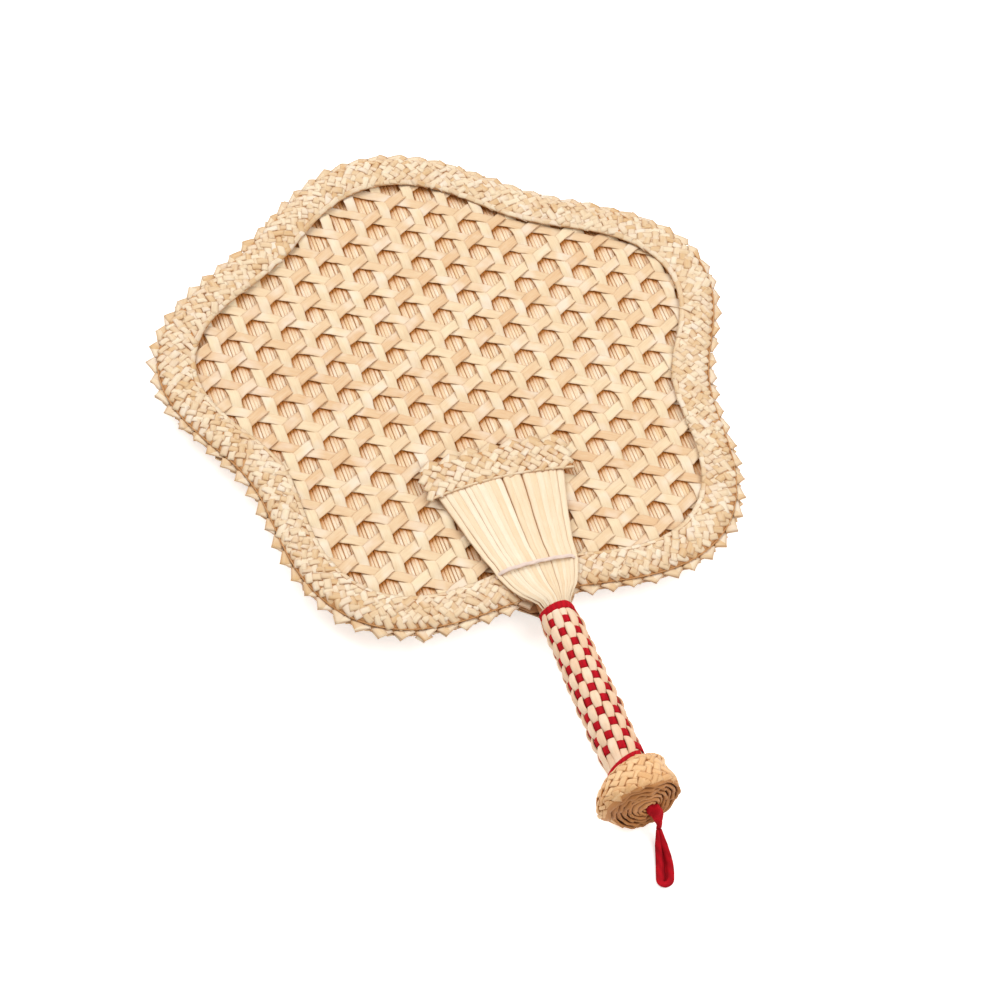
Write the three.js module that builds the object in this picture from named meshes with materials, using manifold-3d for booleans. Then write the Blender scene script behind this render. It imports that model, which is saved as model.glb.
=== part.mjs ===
// Woven straw hand fan, lying on its back: a five-lobed leaf of kagome weave over a mat of
// upright straws, two plaited border bands, a bound grip, a rolled pommel and a hanging loop.
// Millimetres. +Y runs from the pommel to the leaf's tip, +Z is up, the leaf's face looks up.
import * as THREE from "three";
import { mergeVertices } from "three/addons/utils/BufferGeometryUtils.js";
import Module from "manifold-3d";

const wasm = await Module();
wasm.setup();

// Clearances
const clearance = 0.3; // between pieces that touch
const overrun = 5; // how far a cutting shape passes what it cuts

// Weave
const stripWidth = 4.5;
const stripThickness = 0.4;
const windowWidth = 11.43; // clear width between two parallel strips
const weaveLines = 16; // strips of each slanting family
const weaveShift = 1.9; // centre of the middle window, from the leaf's centre to the neck
const weaveAside = 5.3; // the same to the right

// Straw mat behind the weave
const matThickness = 0.8;
const matRidge = 0.35; // height of one straw's crown
const strawsPerLine = 9; // straws from one upright strip to the next
const matInset = 8; // from the leaf's edge

// Leaf outline
const rimReach = 22; // from half the weave's width to the outline's mean radius
const stripInset = 10; // where the strips end, from the leaf's edge

// Border bands
const borderWidth = 19.2;
const borderThickness = 2.3;
const borderSetback = 4.8; // front band's smooth rim, inside the back band's teeth
const toothPitch = 10.6;
const toothDepth = 2.8;

// Grip, from the leaf's neck to the pommel
const neckGap = 1.3; // from the leaf's edge to the grip
const gripLength = 98.5;
const coreRadius = 7.8; // bundle of stalks
const warpCount = 15; // straws round the grip, an odd number so that one winding alternates
const warpWidth = 2.7;
const warpThickness = 0.6;
const collarLength = 1.2; // end collar that joins the grip's straws
const weftWidth = 4;
const weftThickness = 0.6;
const weftTurns = 12; // woven turns between the two end wraps
const wrapGap = 0.7; // between an end wrap and the next turn

// Splay of stalks over the leaf, the same in front and behind
const stalkCount = 19;
const stalkRidge = 0.7;
const stalkEdge = 0.8; // thickness at the sides of the bundle in the grip
const splayThickness = 2.6;
const splayEndThickness = 1.1;
const splayLength = 77.6;
const splayHalfWidth = 36.8;
const splayCrown = 0.9;
const splayBow = 4; // how far the middle of the splay's end stands ahead of its sides

// Plaited arc over the end of the splay
const arcWidth = 22.3;
const arcThickness = 2;
const arcHalfSpan = 42;
const arcOverlap = 7; // how far the arc covers the splay's end

// Thread tied round the splay
const threadWidth = 2;
const threadThickness = 0.8;
const threadPlace = 18; // from the leaf's neck

// Pommel, a plaited band rolled round the end of the stalks
const pommelLength = 22;
const pommelRadius = 19.7;
const pommelTurns = 4;
const pommelLean = 3; // sideways drift of the outermost turn
const rollGap = 0.42; // between one turn and the next
const mouthDepth = 3; // from the pommel's end to the end of the stalks
const flatDepth = 0.5; // flat on the underside, where the fan rests

// Hanging loop
const cordDiameter = 2.6;
const knotRadius = 3.9;

// Straight runs of a lengthwise profile, as shares of the pommel's length and of its swell
const pommelStationShares = [
  [0, 0.42],
  [0.4, 1],
  [0.72, 0.95],
  [1, 0.61],
];

// Half widths of the splay, as shares of its full half width
const splayWidthShares = {
  threadStart: 0.54,
  threadEnd: 0.565,
  innerRim: 0.6,
  pastBorder: 0.645,
  nearArc: 0.96,
};

// Hanging loop, from its knot: how far out, how far aside, and a share of the knot's height
const loopRoute = [
  [3.5, 1.6, 0.66],
  [6.3, 1.65, 0.28],
  [9.5, 1.85, 0.05],
  [13, 2.2, 0],
  [17.5, 2.5, 0],
  [22.3, 2.5, 0],
  [25.5, 2.1, 0],
  [27.5, 1.15, 0],
  [28.1, 0, 0],
];
const loopTurn = 0.215; // how far the loop lies turned to the left, in radians

// Knot and the cord that leads to it from the mouth: sideways, out of the face, down, and
// the share of the knot's radius there
const knotRoute = [
  [1, -2, 0, 0.34],
  [1.6, -0.2, 0.6, 0.38],
  [3.7, 2.2, 2.8, 0.42],
  [6.2, 4.4, 5.8, 0.58],
  [8.1, 5.9, 8.6, 0.94],
  [8.7, 6.5, 10.6, 1],
  [8.9, 6.8, 12.6, 0.85],
  [8.9, 7, 13.9, 0.4],
];

// Facets
const outlineSteps = 140;
const innerEdgeSteps = 90;
const rollSteps = 24;
const cordSides = 8;
const cordSteps = 46;
const threadSteps = 12;

// Shares of the leaf's mean radius: how far the cosine and the sine of each multiple of the
// angle move the outline
const outlineShares = [
  [1, -0.0576, -0.0024],
  [2, 0.027, -0.0066],
  [3, -0.016, -0.0079],
  [4, -0.0041, 0],
  [5, 0.0791, 0],
  [6, -0.0107, 0],
];
const toothLeanShare = 0.6; // a tooth's tip, along its pitch
const stepMarginShare = 0.15; // an upright strip's step starts this far into the gap
const weftMarginShare = 0.2; // the same for the winding between two grip straws

// Worked out from the sizes above
const linePitch = stripWidth + windowWidth;
const crossingPitch = linePitch / Math.cos(Math.PI / 6) / 2;
const leafRadius = (weaveLines * linePitch) / 2 + rimReach;
const layer = stripThickness + clearance;
const weaveTop = 3 * layer + stripThickness;
const matTop = -clearance;
const matBottom = matTop - matThickness;
const frontBorderZ = weaveTop + clearance;
const frontBorderTop = frontBorderZ + borderThickness;
const backBorderTop = matBottom - clearance;
const backBorderZ = backBorderTop - borderThickness;
const handleZ = (frontBorderTop + backBorderZ) / 2;
const leafCentreY = outlineRadius(Math.PI);
const weaveCentreY = leafCentreY - weaveShift;
const gripEndY = -neckGap - gripLength;
const pommelTopY = gripEndY - clearance;
const pommelEndY = pommelTopY - pommelLength;
const coreEndY = pommelEndY + mouthDepth;
const weftInnerRadius = coreRadius + clearance;
const warpRadius = weftInnerRadius + weftThickness + clearance;
const weftOuterRadius = warpRadius + warpThickness + clearance;
const rollRadius = coreRadius + clearance;
const rollPitch = (pommelRadius - rollRadius) / (pommelTurns + 0.5);

const straw = { color: 0xe9d2a0, roughness: 0.72, metalness: 0 };
const paleStraw = { color: 0xf3e3bf, roughness: 0.7, metalness: 0 };
const darkStraw = { color: 0xd2ab74, roughness: 0.75, metalness: 0 };
const redCord = { color: 0xb0101f, roughness: 0.8, metalness: 0 };
const whiteThread = { color: 0xf7f2ea, roughness: 0.85, metalness: 0 };

// Radius of the leaf's outline at an angle from its tip.
function outlineRadius(angle) {
  const swell = outlineShares.reduce(
    (sum, [n, even, odd]) => sum + even * Math.cos(n * angle) + odd * Math.sin(n * angle),
    1,
  );
  return leafRadius * swell;
}

// Point on the leaf's outline, drawn in by an inset.
function outlinePoint(angle, inset) {
  const radius = outlineRadius(angle) - inset;
  return new THREE.Vector2(radius * Math.sin(angle), leafCentreY + radius * Math.cos(angle));
}

// True where a point of the leaf's plane lies inside the inset outline.
function insideLeaf(x, y, inset) {
  const angle = Math.atan2(x, y - leafCentreY);
  return Math.hypot(x, y - leafCentreY) < outlineRadius(angle) - inset;
}

// Angles that divide the outline into equal lengths.
function equalAngles(count, inset) {
  const fine = count * 8;
  const points = Array.from({ length: fine + 1 }, (_, i) =>
    outlinePoint((2 * Math.PI * i) / fine, inset),
  );
  const lengths = [0];
  for (let i = 1; i <= fine; i++) lengths.push(lengths[i - 1] + points[i].distanceTo(points[i - 1]));
  const angles = [];
  let at = 0;
  for (let k = 0; k < count; k++) {
    const target = (lengths[fine] * k) / count;
    while (lengths[at + 1] < target) at++;
    const part = (target - lengths[at]) / (lengths[at + 1] - lengths[at]);
    angles.push((2 * Math.PI * (at + part)) / fine);
  }
  return angles;
}

// How far from a line's foot it leaves the inset outline, in one direction.
function reachInLeaf(foot, direction, inset) {
  const step = stripWidth / 8;
  let reach = 0;
  while (insideLeaf(foot.x + direction.x * reach, foot.y + direction.y * reach, inset)) reach += step;
  return reach - step;
}

// Twice the signed volume under a list of triangles, for the way its faces look.
function facesOut(points, index) {
  let sum = 0;
  for (let i = 0; i < index.length; i += 3) {
    const [a, b, c] = [points[index[i]], points[index[i + 1]], points[index[i + 2]]];
    sum += a.dot(new THREE.Vector3().crossVectors(b, c));
  }
  return sum > 0;
}

// Triangles of an end ring, seen along the run of the loft and turned the way the ring is.
function capTriangles(ring, next) {
  const run = new THREE.Vector3();
  ring.forEach((point, i) => run.add(next[i]).sub(point));
  const size = run.toArray().map(Math.abs);
  const drop = size.indexOf(Math.max(...size));
  const flat = ring.map((p) => new THREE.Vector2(...p.toArray().filter((_, i) => i !== drop)));
  const turned = THREE.ShapeUtils.area(flat) > 0;
  return THREE.ShapeUtils.triangulateShape(flat, []).map(([a, b, c]) =>
    THREE.ShapeUtils.area([flat[a], flat[b], flat[c]]) > 0 === turned ? [a, b, c] : [a, c, b],
  );
}

// Closed solid through a row of rings that all have the same number of points.
function loft(rings) {
  const sides = rings[0].length;
  const points = rings.flat();
  const index = [];
  for (let k = 0; k + 1 < rings.length; k++) {
    for (let i = 0; i < sides; i++) {
      const a = k * sides + i;
      const b = k * sides + ((i + 1) % sides);
      index.push(a, b, b + sides, a, b + sides, a + sides);
    }
  }
  const last = (rings.length - 1) * sides;
  for (const [a, b, c] of capTriangles(rings[0], rings[1])) index.push(a, c, b);
  for (const [a, b, c] of capTriangles(rings[rings.length - 1], rings[rings.length - 2])) {
    index.push(last + a, last + b, last + c);
  }
  if (!facesOut(points, index)) {
    for (let i = 0; i < index.length; i += 3) {
      [index[i + 1], index[i + 2]] = [index[i + 2], index[i + 1]];
    }
  }
  const geometry = new THREE.BufferGeometry().setFromPoints(points);
  geometry.setIndex(index);
  geometry.computeVertexNormals();
  return geometry;
}

// Solid made ready for a cut or a join.
function toManifold(geometry) {
  const bare = geometry.clone();
  bare.deleteAttribute("normal");
  bare.deleteAttribute("uv");
  const merged = mergeVertices(bare, 1e-4);
  return new wasm.Manifold(
    new wasm.Mesh({
      numProp: 3,
      vertProperties: merged.attributes.position.array,
      triVerts: new Uint32Array(merged.index.array),
    }),
  );
}

function fromManifold(solid) {
  const mesh = solid.getMesh();
  const geometry = new THREE.BufferGeometry();
  geometry.setAttribute("position", new THREE.BufferAttribute(mesh.vertProperties, 3));
  geometry.setIndex(new THREE.BufferAttribute(mesh.triVerts, 1));
  geometry.computeVertexNormals();
  return geometry;
}

function addPiece(group, name, geometry, look) {
  const material = new THREE.MeshStandardMaterial({ ...look, flatShading: true });
  const mesh = new THREE.Mesh(geometry, material);
  mesh.name = name;
  group.add(mesh);
}

// Level plate between two heights, from a shape in the leaf's plane.
function plate(shape, z, thickness) {
  const geometry = new THREE.ExtrudeGeometry(shape, {
    depth: thickness,
    bevelEnabled: false,
    curveSegments: 1,
  });
  return geometry.translate(0, 0, z);
}

// Straw mat: a slab with one crown for each straw, cut to the leaf's outline.
function matGeometry() {
  const pitch = linePitch / strawsPerLine;
  const count = 2 * Math.ceil((leafRadius + overrun * 2) / pitch);
  const left = (-count * pitch) / 2;
  const profile = new THREE.Shape();
  profile.moveTo(left, matBottom);
  profile.lineTo(-left, matBottom);
  for (let i = count; i > 0; i--) {
    profile.lineTo(left + i * pitch, matTop - matRidge);
    profile.lineTo(left + (i - 0.5) * pitch, matTop);
  }
  profile.lineTo(left, matTop - matRidge);
  const slab = new THREE.ExtrudeGeometry(profile, { depth: 3 * leafRadius, bevelEnabled: false });
  slab.rotateX(Math.PI / 2).translate(0, leafCentreY + 1.5 * leafRadius, 0);
  const edge = new THREE.Shape(equalAngles(outlineSteps, matInset).map((a) => outlinePoint(a, matInset)));
  const cutter = plate(edge, matBottom - overrun, matThickness + 2 * overrun);
  return fromManifold(toManifold(slab).intersect(toManifold(cutter)));
}

// Ring of an upright strip: its two edges at x - half and x + half, slanted by a slope.
function uprightRing(x, y, slope, z) {
  const half = stripWidth / 2;
  return [
    new THREE.Vector3(x - half, y - slope * half, z),
    new THREE.Vector3(x + half, y + slope * half, z),
    new THREE.Vector3(x + half, y + slope * half, z + stripThickness),
    new THREE.Vector3(x - half, y - slope * half, z + stripThickness),
  ];
}

// Upright strip: it runs under each falling strip and over each rising one.
function uprightGeometry(line) {
  const x = weaveAside + (line + 0.5) * linePitch;
  const slope = Math.tan(Math.PI / 6);
  const foot = new THREE.Vector2(x, leafCentreY);
  const low = leafCentreY - reachInLeaf(foot, new THREE.Vector2(0, -1), stripInset);
  const high = leafCentreY + reachInLeaf(foot, new THREE.Vector2(0, 1), stripInset);
  const edge = stripWidth / 2 / Math.cos(Math.PI / 6);
  const gap = crossingPitch - 2 * edge - stripWidth * slope;
  const reach = edge + gap * stepMarginShare;
  const rings = [];
  const first = Math.ceil((low + reach - weaveCentreY) / crossingPitch - 0.5);
  const last = Math.floor((high - reach - weaveCentreY) / crossingPitch - 0.5);
  for (let k = first; k <= last; k++) {
    const y = weaveCentreY + (k + 0.5) * crossingPitch;
    const under = (((k + line) % 2) + 2) % 2 === 0;
    const slant = under ? -slope : slope;
    const z = under ? 0 : 3 * layer;
    rings.push(uprightRing(x, y - reach, slant, z), uprightRing(x, y + reach, slant, z));
  }
  return loft(rings);
}

// Slanting strip: straight and flat, side +1 rises to the right and -1 falls.
function slantGeometry(side, line) {
  const tilt = (side * Math.PI) / 6;
  const along = new THREE.Vector2(Math.cos(tilt), Math.sin(tilt));
  const across = new THREE.Vector2(-along.y, along.x);
  const offset = (line + 0.5) * linePitch;
  const foot = new THREE.Vector2(weaveAside + across.x * offset, weaveCentreY + across.y * offset);
  const z = side > 0 ? 2 * layer : layer;
  const ring = (distance) => {
    const x = foot.x + along.x * distance;
    const y = foot.y + along.y * distance;
    return [
      [-stripWidth / 2, 0],
      [stripWidth / 2, 0],
      [stripWidth / 2, stripThickness],
      [-stripWidth / 2, stripThickness],
    ].map(([u, v]) => new THREE.Vector3(x + across.x * u, y + across.y * u, z + v));
  };
  const back = new THREE.Vector2(-along.x, -along.y);
  return loft([ring(-reachInLeaf(foot, back, stripInset)), ring(reachInLeaf(foot, along, stripInset))]);
}

// Points of the leaf's outline with one tooth to each pitch.
function toothedOutline() {
  const teeth = Math.round((2 * Math.PI * leafRadius) / toothPitch);
  const angles = equalAngles(teeth, 0);
  return angles.flatMap((a, i) => {
    const next = i + 1 < teeth ? angles[i + 1] : 2 * Math.PI;
    const tip = a + (next - a) * toothLeanShare;
    return [outlinePoint(a, toothDepth), outlinePoint(tip, 0)];
  });
}

// Border band between an outer edge and a smooth inner one.
function borderGeometry(outer, inset, z) {
  const shape = new THREE.Shape(outer);
  const innerInset = inset + borderWidth;
  const inner = equalAngles(innerEdgeSteps, innerInset).map((a) => outlinePoint(a, innerInset));
  shape.holes.push(new THREE.Path(inner.reverse()));
  return plate(shape, z, borderThickness);
}

// Stations of a stalk bundle, from the pommel to the end of its splay. The base is the
// height over the grip's axis of the face that looks at the leaf.
function stalkStations(overBorder, overLeaf) {
  const full = coreRadius - clearance / 2;
  const narrow = Math.sqrt(full ** 2 - (stalkEdge + clearance) ** 2) - stalkRidge / 2;
  const base = clearance / 2;
  const borderEnd = Math.max(borderWidth + borderSetback, threadPlace + threadWidth) + clearance;
  const wide = (share) => splayHalfWidth * share;
  const { threadStart, threadEnd, innerRim, pastBorder, nearArc } = splayWidthShares;
  const thin = splayThickness / 2;
  const arcStart = splayLength - arcOverlap;
  return [
    { y: coreEndY, half: narrow, base, edge: stalkEdge, top: full },
    { y: -2 * neckGap, half: narrow, base, edge: stalkEdge, top: full },
    { y: -neckGap / 2, half: narrow, base: overBorder, edge: stalkEdge, top: full + clearance },
    { y: threadPlace - threadWidth, half: wide(threadStart), base: overBorder, edge: thin },
    { y: threadPlace + threadWidth, half: wide(threadEnd), base: overBorder, edge: thin },
    { y: borderEnd, half: wide(innerRim), base: overBorder, edge: thin },
    { y: borderEnd + 2 * splayThickness, half: wide(pastBorder), base: overLeaf, edge: splayThickness },
    { y: arcStart - splayThickness, half: wide(nearArc), base: overLeaf, edge: splayThickness },
    { y: arcStart, half: splayHalfWidth, base: overLeaf, edge: splayEndThickness },
    { y: splayLength, half: splayHalfWidth, base: overLeaf, edge: splayEndThickness },
  ];
}

// One ring of a stalk bundle: a flat face towards the leaf and a crown for each stalk.
function stalkRing(station, side) {
  const columns = 2 * stalkCount;
  const low = station.base + station.edge;
  const crown = station.top === undefined ? splayCrown : station.top - low;
  const ends = station.edge <= splayEndThickness && station.top === undefined;
  const ridge = ends ? stalkRidge / 3 : stalkRidge;
  const bow = splayBow * Math.max(0, station.y / splayLength) ** 2;
  const at = (x, height) => {
    const lift = bow * (1 - (x / station.half) ** 2);
    return new THREE.Vector3(x, station.y + lift, handleZ + side * height);
  };
  const ring = [-1, -0.5, 0, 0.5, 1].map((share) => at(station.half * share, station.base));
  for (let i = columns; i >= 0; i--) {
    const share = (2 * i) / columns - 1;
    const rise = ends ? 0 : crown * Math.sqrt(1 - share ** 2);
    const dip = i % 2 === 0 && Math.abs(share) < 1 ? ridge : 0;
    ring.push(at(station.half * share, low + rise - dip));
  }
  return ring;
}

function stalkGeometry(side) {
  const overBorder = side > 0 ? frontBorderTop - handleZ : handleZ - backBorderZ;
  const overLeaf = side > 0 ? weaveTop - handleZ : handleZ - matBottom;
  const stations = stalkStations(overBorder + clearance, overLeaf + clearance);
  return loft(stations.map((station) => stalkRing(station, side)));
}

// Plaited arc that lies over the end of a splay, with a toothed far edge.
function arcGeometry(side) {
  const overLeaf = side > 0 ? weaveTop - handleZ : handleZ - matBottom;
  const base = overLeaf + clearance + splayEndThickness + clearance;
  const near = splayLength - arcOverlap + 3 * clearance;
  const teeth = Math.round((2 * arcHalfSpan) / toothPitch);
  const bowed = (x) => splayBow * (1 - (x / arcHalfSpan) ** 2);
  const outline = [];
  for (let i = 0; i <= teeth; i++) {
    const x = -arcHalfSpan + (2 * arcHalfSpan * i) / teeth;
    outline.push(new THREE.Vector2(x, near + bowed(x)));
  }
  for (let i = teeth; i > 0; i--) {
    const x = -arcHalfSpan + (2 * arcHalfSpan * i) / teeth;
    const tip = x - ((1 - toothLeanShare) * 2 * arcHalfSpan) / teeth;
    outline.push(new THREE.Vector2(x, near + arcWidth - toothDepth + bowed(x)));
    outline.push(new THREE.Vector2(tip, near + arcWidth + bowed(tip)));
  }
  const z = side > 0 ? handleZ + base : handleZ - base - arcThickness;
  return plate(new THREE.Shape(outline), z, arcThickness);
}

// Thread tied over the front splay, from the leaf on one side to the leaf on the other.
function threadGeometry() {
  const overBorder = frontBorderTop - handleZ + clearance;
  const { threadStart, threadEnd } = splayWidthShares;
  const half = (splayHalfWidth * (threadStart + threadEnd)) / 2 + 2 * clearance;
  const low = overBorder;
  const shoulder = low + splayThickness / 2;
  const section = (x, z, nx, nz) =>
    [
      [0, -threadWidth / 2],
      [0, threadWidth / 2],
      [threadThickness, threadWidth / 2],
      [threadThickness, -threadWidth / 2],
    ].map(([out, y]) => new THREE.Vector3(x + nx * out, threadPlace + y, handleZ + z + nz * out));
  const rings = [section(-half, low, -1, 0), section(-half, shoulder, -1, 0)];
  for (let i = 0; i <= threadSteps; i++) {
    const share = (2 * i) / threadSteps - 1;
    const rise = splayCrown * Math.sqrt(Math.max(0, 1 - share ** 2));
    rings.push(section((half - 2 * clearance) * share, shoulder + clearance + rise, 0, 1));
  }
  rings.push(section(half, shoulder, 1, 0), section(half, low, 1, 0));
  return loft(rings);
}

// Point at an angle round the grip's axis.
function aroundGrip(angle, radius, y, centreX = 0) {
  return new THREE.Vector3(centreX + radius * Math.cos(angle), y, handleZ + radius * Math.sin(angle));
}

// Straws round the grip, joined by a collar at each end.
function warpGeometry() {
  const pitch = (2 * Math.PI) / warpCount;
  const half = warpWidth / 2 / (warpRadius + warpThickness / 2);
  const outer = warpRadius + warpThickness;
  const hoop = (radius) =>
    Array.from({ length: warpCount * 2 }, (_, i) => {
      const angle = Math.floor(i / 2) * pitch + (i % 2 ? half : -half);
      return new THREE.Vector2(radius * Math.cos(angle), radius * Math.sin(angle));
    });
  const collar = (y) => {
    const shape = new THREE.Shape(hoop(outer));
    shape.holes.push(new THREE.Path(hoop(warpRadius)));
    return plate(shape, 0, collarLength).rotateX(Math.PI / 2).translate(0, y, handleZ);
  };
  let solid = toManifold(collar(-neckGap)).add(toManifold(collar(gripEndY + collarLength)));
  for (let i = 0; i < warpCount; i++) {
    const ring = (y) => [
      aroundGrip(-i * pitch - half, warpRadius, y),
      aroundGrip(-i * pitch + half, warpRadius, y),
      aroundGrip(-i * pitch + half, outer, y),
      aroundGrip(-i * pitch - half, outer, y),
    ];
    const bar = loft([ring(-neckGap - collarLength / 2), ring(gripEndY + collarLength / 2)]);
    solid = solid.add(toManifold(bar));
  }
  return fromManifold(solid);
}

// Middle of the winding along the grip, after a number of turns.
function weftPlace(turns) {
  const start = -neckGap - wrapGap - weftWidth / 2;
  const wrap = weftWidth + wrapGap;
  const woven = (gripLength - 2 * wrapGap - weftWidth - 2 * wrap) / weftTurns;
  if (turns < 1) return start - wrap * turns;
  if (turns < 1 + weftTurns) return start - wrap - woven * (turns - 1);
  return start - wrap - woven * weftTurns - wrap * (turns - 1 - weftTurns);
}

// Rings of the red winding: one wrap over all straws, then over and under, then one wrap.
function weftRings() {
  const pitch = (2 * Math.PI) / warpCount;
  const half = warpWidth / 2 / (warpRadius + warpThickness / 2);
  const reach = half + (pitch - 2 * half) * weftMarginShare;
  const steps = warpCount * (weftTurns + 2);
  const rings = [];
  for (let k = 0; k < steps; k++) {
    const wrapped = k < warpCount || k >= steps - warpCount;
    const radius = wrapped || k % 2 === 0 ? weftOuterRadius : weftInnerRadius;
    for (const shift of [-reach, reach]) {
      const angle = k * pitch + shift;
      const turns = Math.max(0, angle / (2 * Math.PI));
      const y = weftPlace(turns);
      rings.push([
        aroundGrip(-angle, radius, y - weftWidth / 2),
        aroundGrip(-angle, radius, y + weftWidth / 2),
        aroundGrip(-angle, radius + weftThickness, y + weftWidth / 2),
        aroundGrip(-angle, radius + weftThickness, y - weftWidth / 2),
      ]);
    }
  }
  return rings;
}

// Distance from a point to a line between two others.
function distanceToLine(point, a, b) {
  const line = new THREE.Line3(a, b);
  return line.closestPointToPoint(point, true, new THREE.Vector3()).distanceTo(point);
}

// Least gap from each ring's points to the edges of the rings about one turn on.
function leastGap(rings, ringsPerTurn) {
  let least = Infinity;
  const sides = rings[0].length;
  for (let k = 0; k < rings.length; k++) {
    const from = k + Math.floor(ringsPerTurn * 0.8);
    const to = Math.min(rings.length - 1, k + Math.ceil(ringsPerTurn * 1.2));
    for (let j = from; j < to; j++) {
      for (const point of rings[k]) {
        for (let i = 0; i < sides; i++) {
          least = Math.min(least, distanceToLine(point, rings[j][i], rings[j + 1][i]));
        }
      }
    }
  }
  return least;
}

// Inner radius of the rolled band at full swell, at an angle from its start.
function rollInner(angle) {
  const turned = angle / (2 * Math.PI * pommelTurns);
  return rollRadius + (rollPitch * angle) / (2 * Math.PI) + pommelLean * turned * Math.cos(angle);
}

// Rings of the rolled band, barrel-shaped along its length.
function rollRings() {
  const rings = [];
  for (let k = 0; k <= rollSteps * pommelTurns; k++) {
    const angle = (2 * Math.PI * k) / rollSteps;
    const at = (swell, share) => rollRadius + (swell - rollRadius) * share;
    const inner = pommelStationShares.map(([along, share]) =>
      aroundGrip(angle, at(rollInner(angle), share), pommelTopY - pommelLength * along),
    );
    const outer = pommelStationShares.map(([along, share]) => {
      const radius = at(rollInner(angle + 2 * Math.PI), share) - rollGap;
      return aroundGrip(angle, radius, pommelTopY - pommelLength * along);
    });
    rings.push([...inner, ...outer.reverse()]);
  }
  return rings;
}

// Rest: the fan leans on the pommel's flat and on the back band's edge at the leaf's tip.
const tipY = leafCentreY + outlineRadius(0);
const restY = pommelTopY - pommelLength * pommelStationShares[1][0];
const lowestRoll = rollInner(2 * Math.PI * (pommelTurns + 0.75)) - rollGap;
const restZ = handleZ - lowestRoll + flatDepth;
const lean = Math.atan2(restZ - backBorderZ, tipY - restY);
const restHeight = tipY * Math.sin(lean) + backBorderZ * Math.cos(lean);

// The pommel's roll, with a flat in the plane that the fan rests on.
function pommelGeometry(rings) {
  const block = new THREE.BoxGeometry(4 * pommelRadius, 4 * pommelRadius, pommelRadius);
  block.translate(0, restY, restHeight - pommelRadius / 2).rotateX(-lean);
  return fromManifold(toManifold(loft(rings)).subtract(toManifold(block)));
}

// Round section of a cord, square to its run at one point of its path.
function cordRing(points, k, radius) {
  const before = points[Math.max(0, k - 1)];
  const after = points[Math.min(points.length - 1, k + 1)];
  const run = new THREE.Vector3().subVectors(after, before).normalize();
  const side = new THREE.Vector3(run.y, -run.x, 0).normalize();
  const up = new THREE.Vector3().crossVectors(side, run);
  return Array.from({ length: cordSides }, (_, i) => {
    const angle = (2 * Math.PI * (i + 0.5)) / cordSides;
    const out = side.clone().multiplyScalar(radius * Math.cos(angle));
    return points[k].clone().add(out).addScaledVector(up, radius * Math.sin(angle));
  });
}

// Knot in the mouth of the pommel, in the fan's own frame.
function knotPoints() {
  return knotRoute.map(([x, out, down]) => new THREE.Vector3(x, pommelEndY - out, handleZ - down));
}

function knotGeometry() {
  const points = knotPoints();
  return loft(points.map((_, k) => cordRing(points, k, knotRadius * knotRoute[k][3])));
}

// Loop that leaves the knot, drops to the table and lies on it. The knot's place is given
// over the table.
function loopGeometry(knot) {
  const radius = cordDiameter / 2;
  const out = new THREE.Vector3(-Math.sin(loopTurn), -Math.cos(loopTurn), 0);
  const aside = new THREE.Vector3(-out.y, out.x, 0);
  const level = radius + clearance / 2;
  const place = ([reach, half, share], side) =>
    new THREE.Vector3(knot.x, knot.y, level + share * (knot.z - level))
      .addScaledVector(out, reach)
      .addScaledVector(aside, side * half);
  const there = loopRoute.map((p) => place(p, 1));
  const back = loopRoute.slice(0, -1).reverse().map((p) => place(p, -1));
  const curve = new THREE.CatmullRomCurve3([...there, ...back]);
  const points = curve.getSpacedPoints(cordSteps);
  return loft(points.map((_, k) => cordRing(points, k, radius / Math.cos(Math.PI / cordSides))));
}

// Two-digit number for a repeated piece's name.
function numbered(name, count) {
  return `${name}_${String(count).padStart(2, "0")}`;
}

function buildLeaf(group) {
  addPiece(group, "rib_mat", matGeometry(), paleStraw);
  for (let i = 1; i < weaveLines; i++) {
    addPiece(group, numbered("upright_strip", i), uprightGeometry(i - 1 - weaveLines / 2), straw);
  }
  for (let i = 1; i <= weaveLines; i++) {
    const line = i - weaveLines / 2 - 2;
    addPiece(group, numbered("falling_strip", i), slantGeometry(-1, line), straw);
    addPiece(group, numbered("rising_strip", i), slantGeometry(1, line), straw);
  }
  const rim = equalAngles(outlineSteps, borderSetback).map((a) => outlinePoint(a, borderSetback));
  addPiece(group, "front_border", borderGeometry(rim, borderSetback, frontBorderZ), straw);
  addPiece(group, "back_border", borderGeometry(toothedOutline(), 0, backBorderZ), straw);
}

function buildSplay(group) {
  addPiece(group, "front_stalks", stalkGeometry(1), paleStraw);
  addPiece(group, "back_stalks", stalkGeometry(-1), paleStraw);
  addPiece(group, "front_arc_braid", arcGeometry(1), straw);
  addPiece(group, "back_arc_braid", arcGeometry(-1), straw);
  addPiece(group, "front_thread", threadGeometry(), whiteThread);
}

function buildHandle(group) {
  addPiece(group, "grip_warps", warpGeometry(), straw);
  const winding = weftRings();
  addPiece(group, "grip_winding", loft(winding), redCord);
  const roll = rollRings();
  addPiece(group, "pommel_roll", pommelGeometry(roll), darkStraw);
  console.log(`least gap in the winding: ${leastGap(winding, 2 * warpCount).toFixed(2)} mm`);
  console.log(`least gap in the pommel's roll: ${leastGap(roll, rollSteps).toFixed(2)} mm`);
}

const fan = new THREE.Group();
buildLeaf(fan);
buildSplay(fan);
buildHandle(fan);
fan.rotation.x = lean;
fan.updateMatrixWorld(true);
const box = new THREE.Box3().setFromObject(fan, true);
const middle = box.getCenter(new THREE.Vector3());
fan.position.set(-middle.x, -middle.y, -restHeight);
fan.updateMatrixWorld(true);

addPiece(fan, "loop_knot", knotGeometry(), redCord);
const knotMiddle = knotRoute.findIndex(([, , , share]) => share === 1);
const knot = knotPoints()[knotMiddle].applyMatrix4(fan.matrixWorld);

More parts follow.
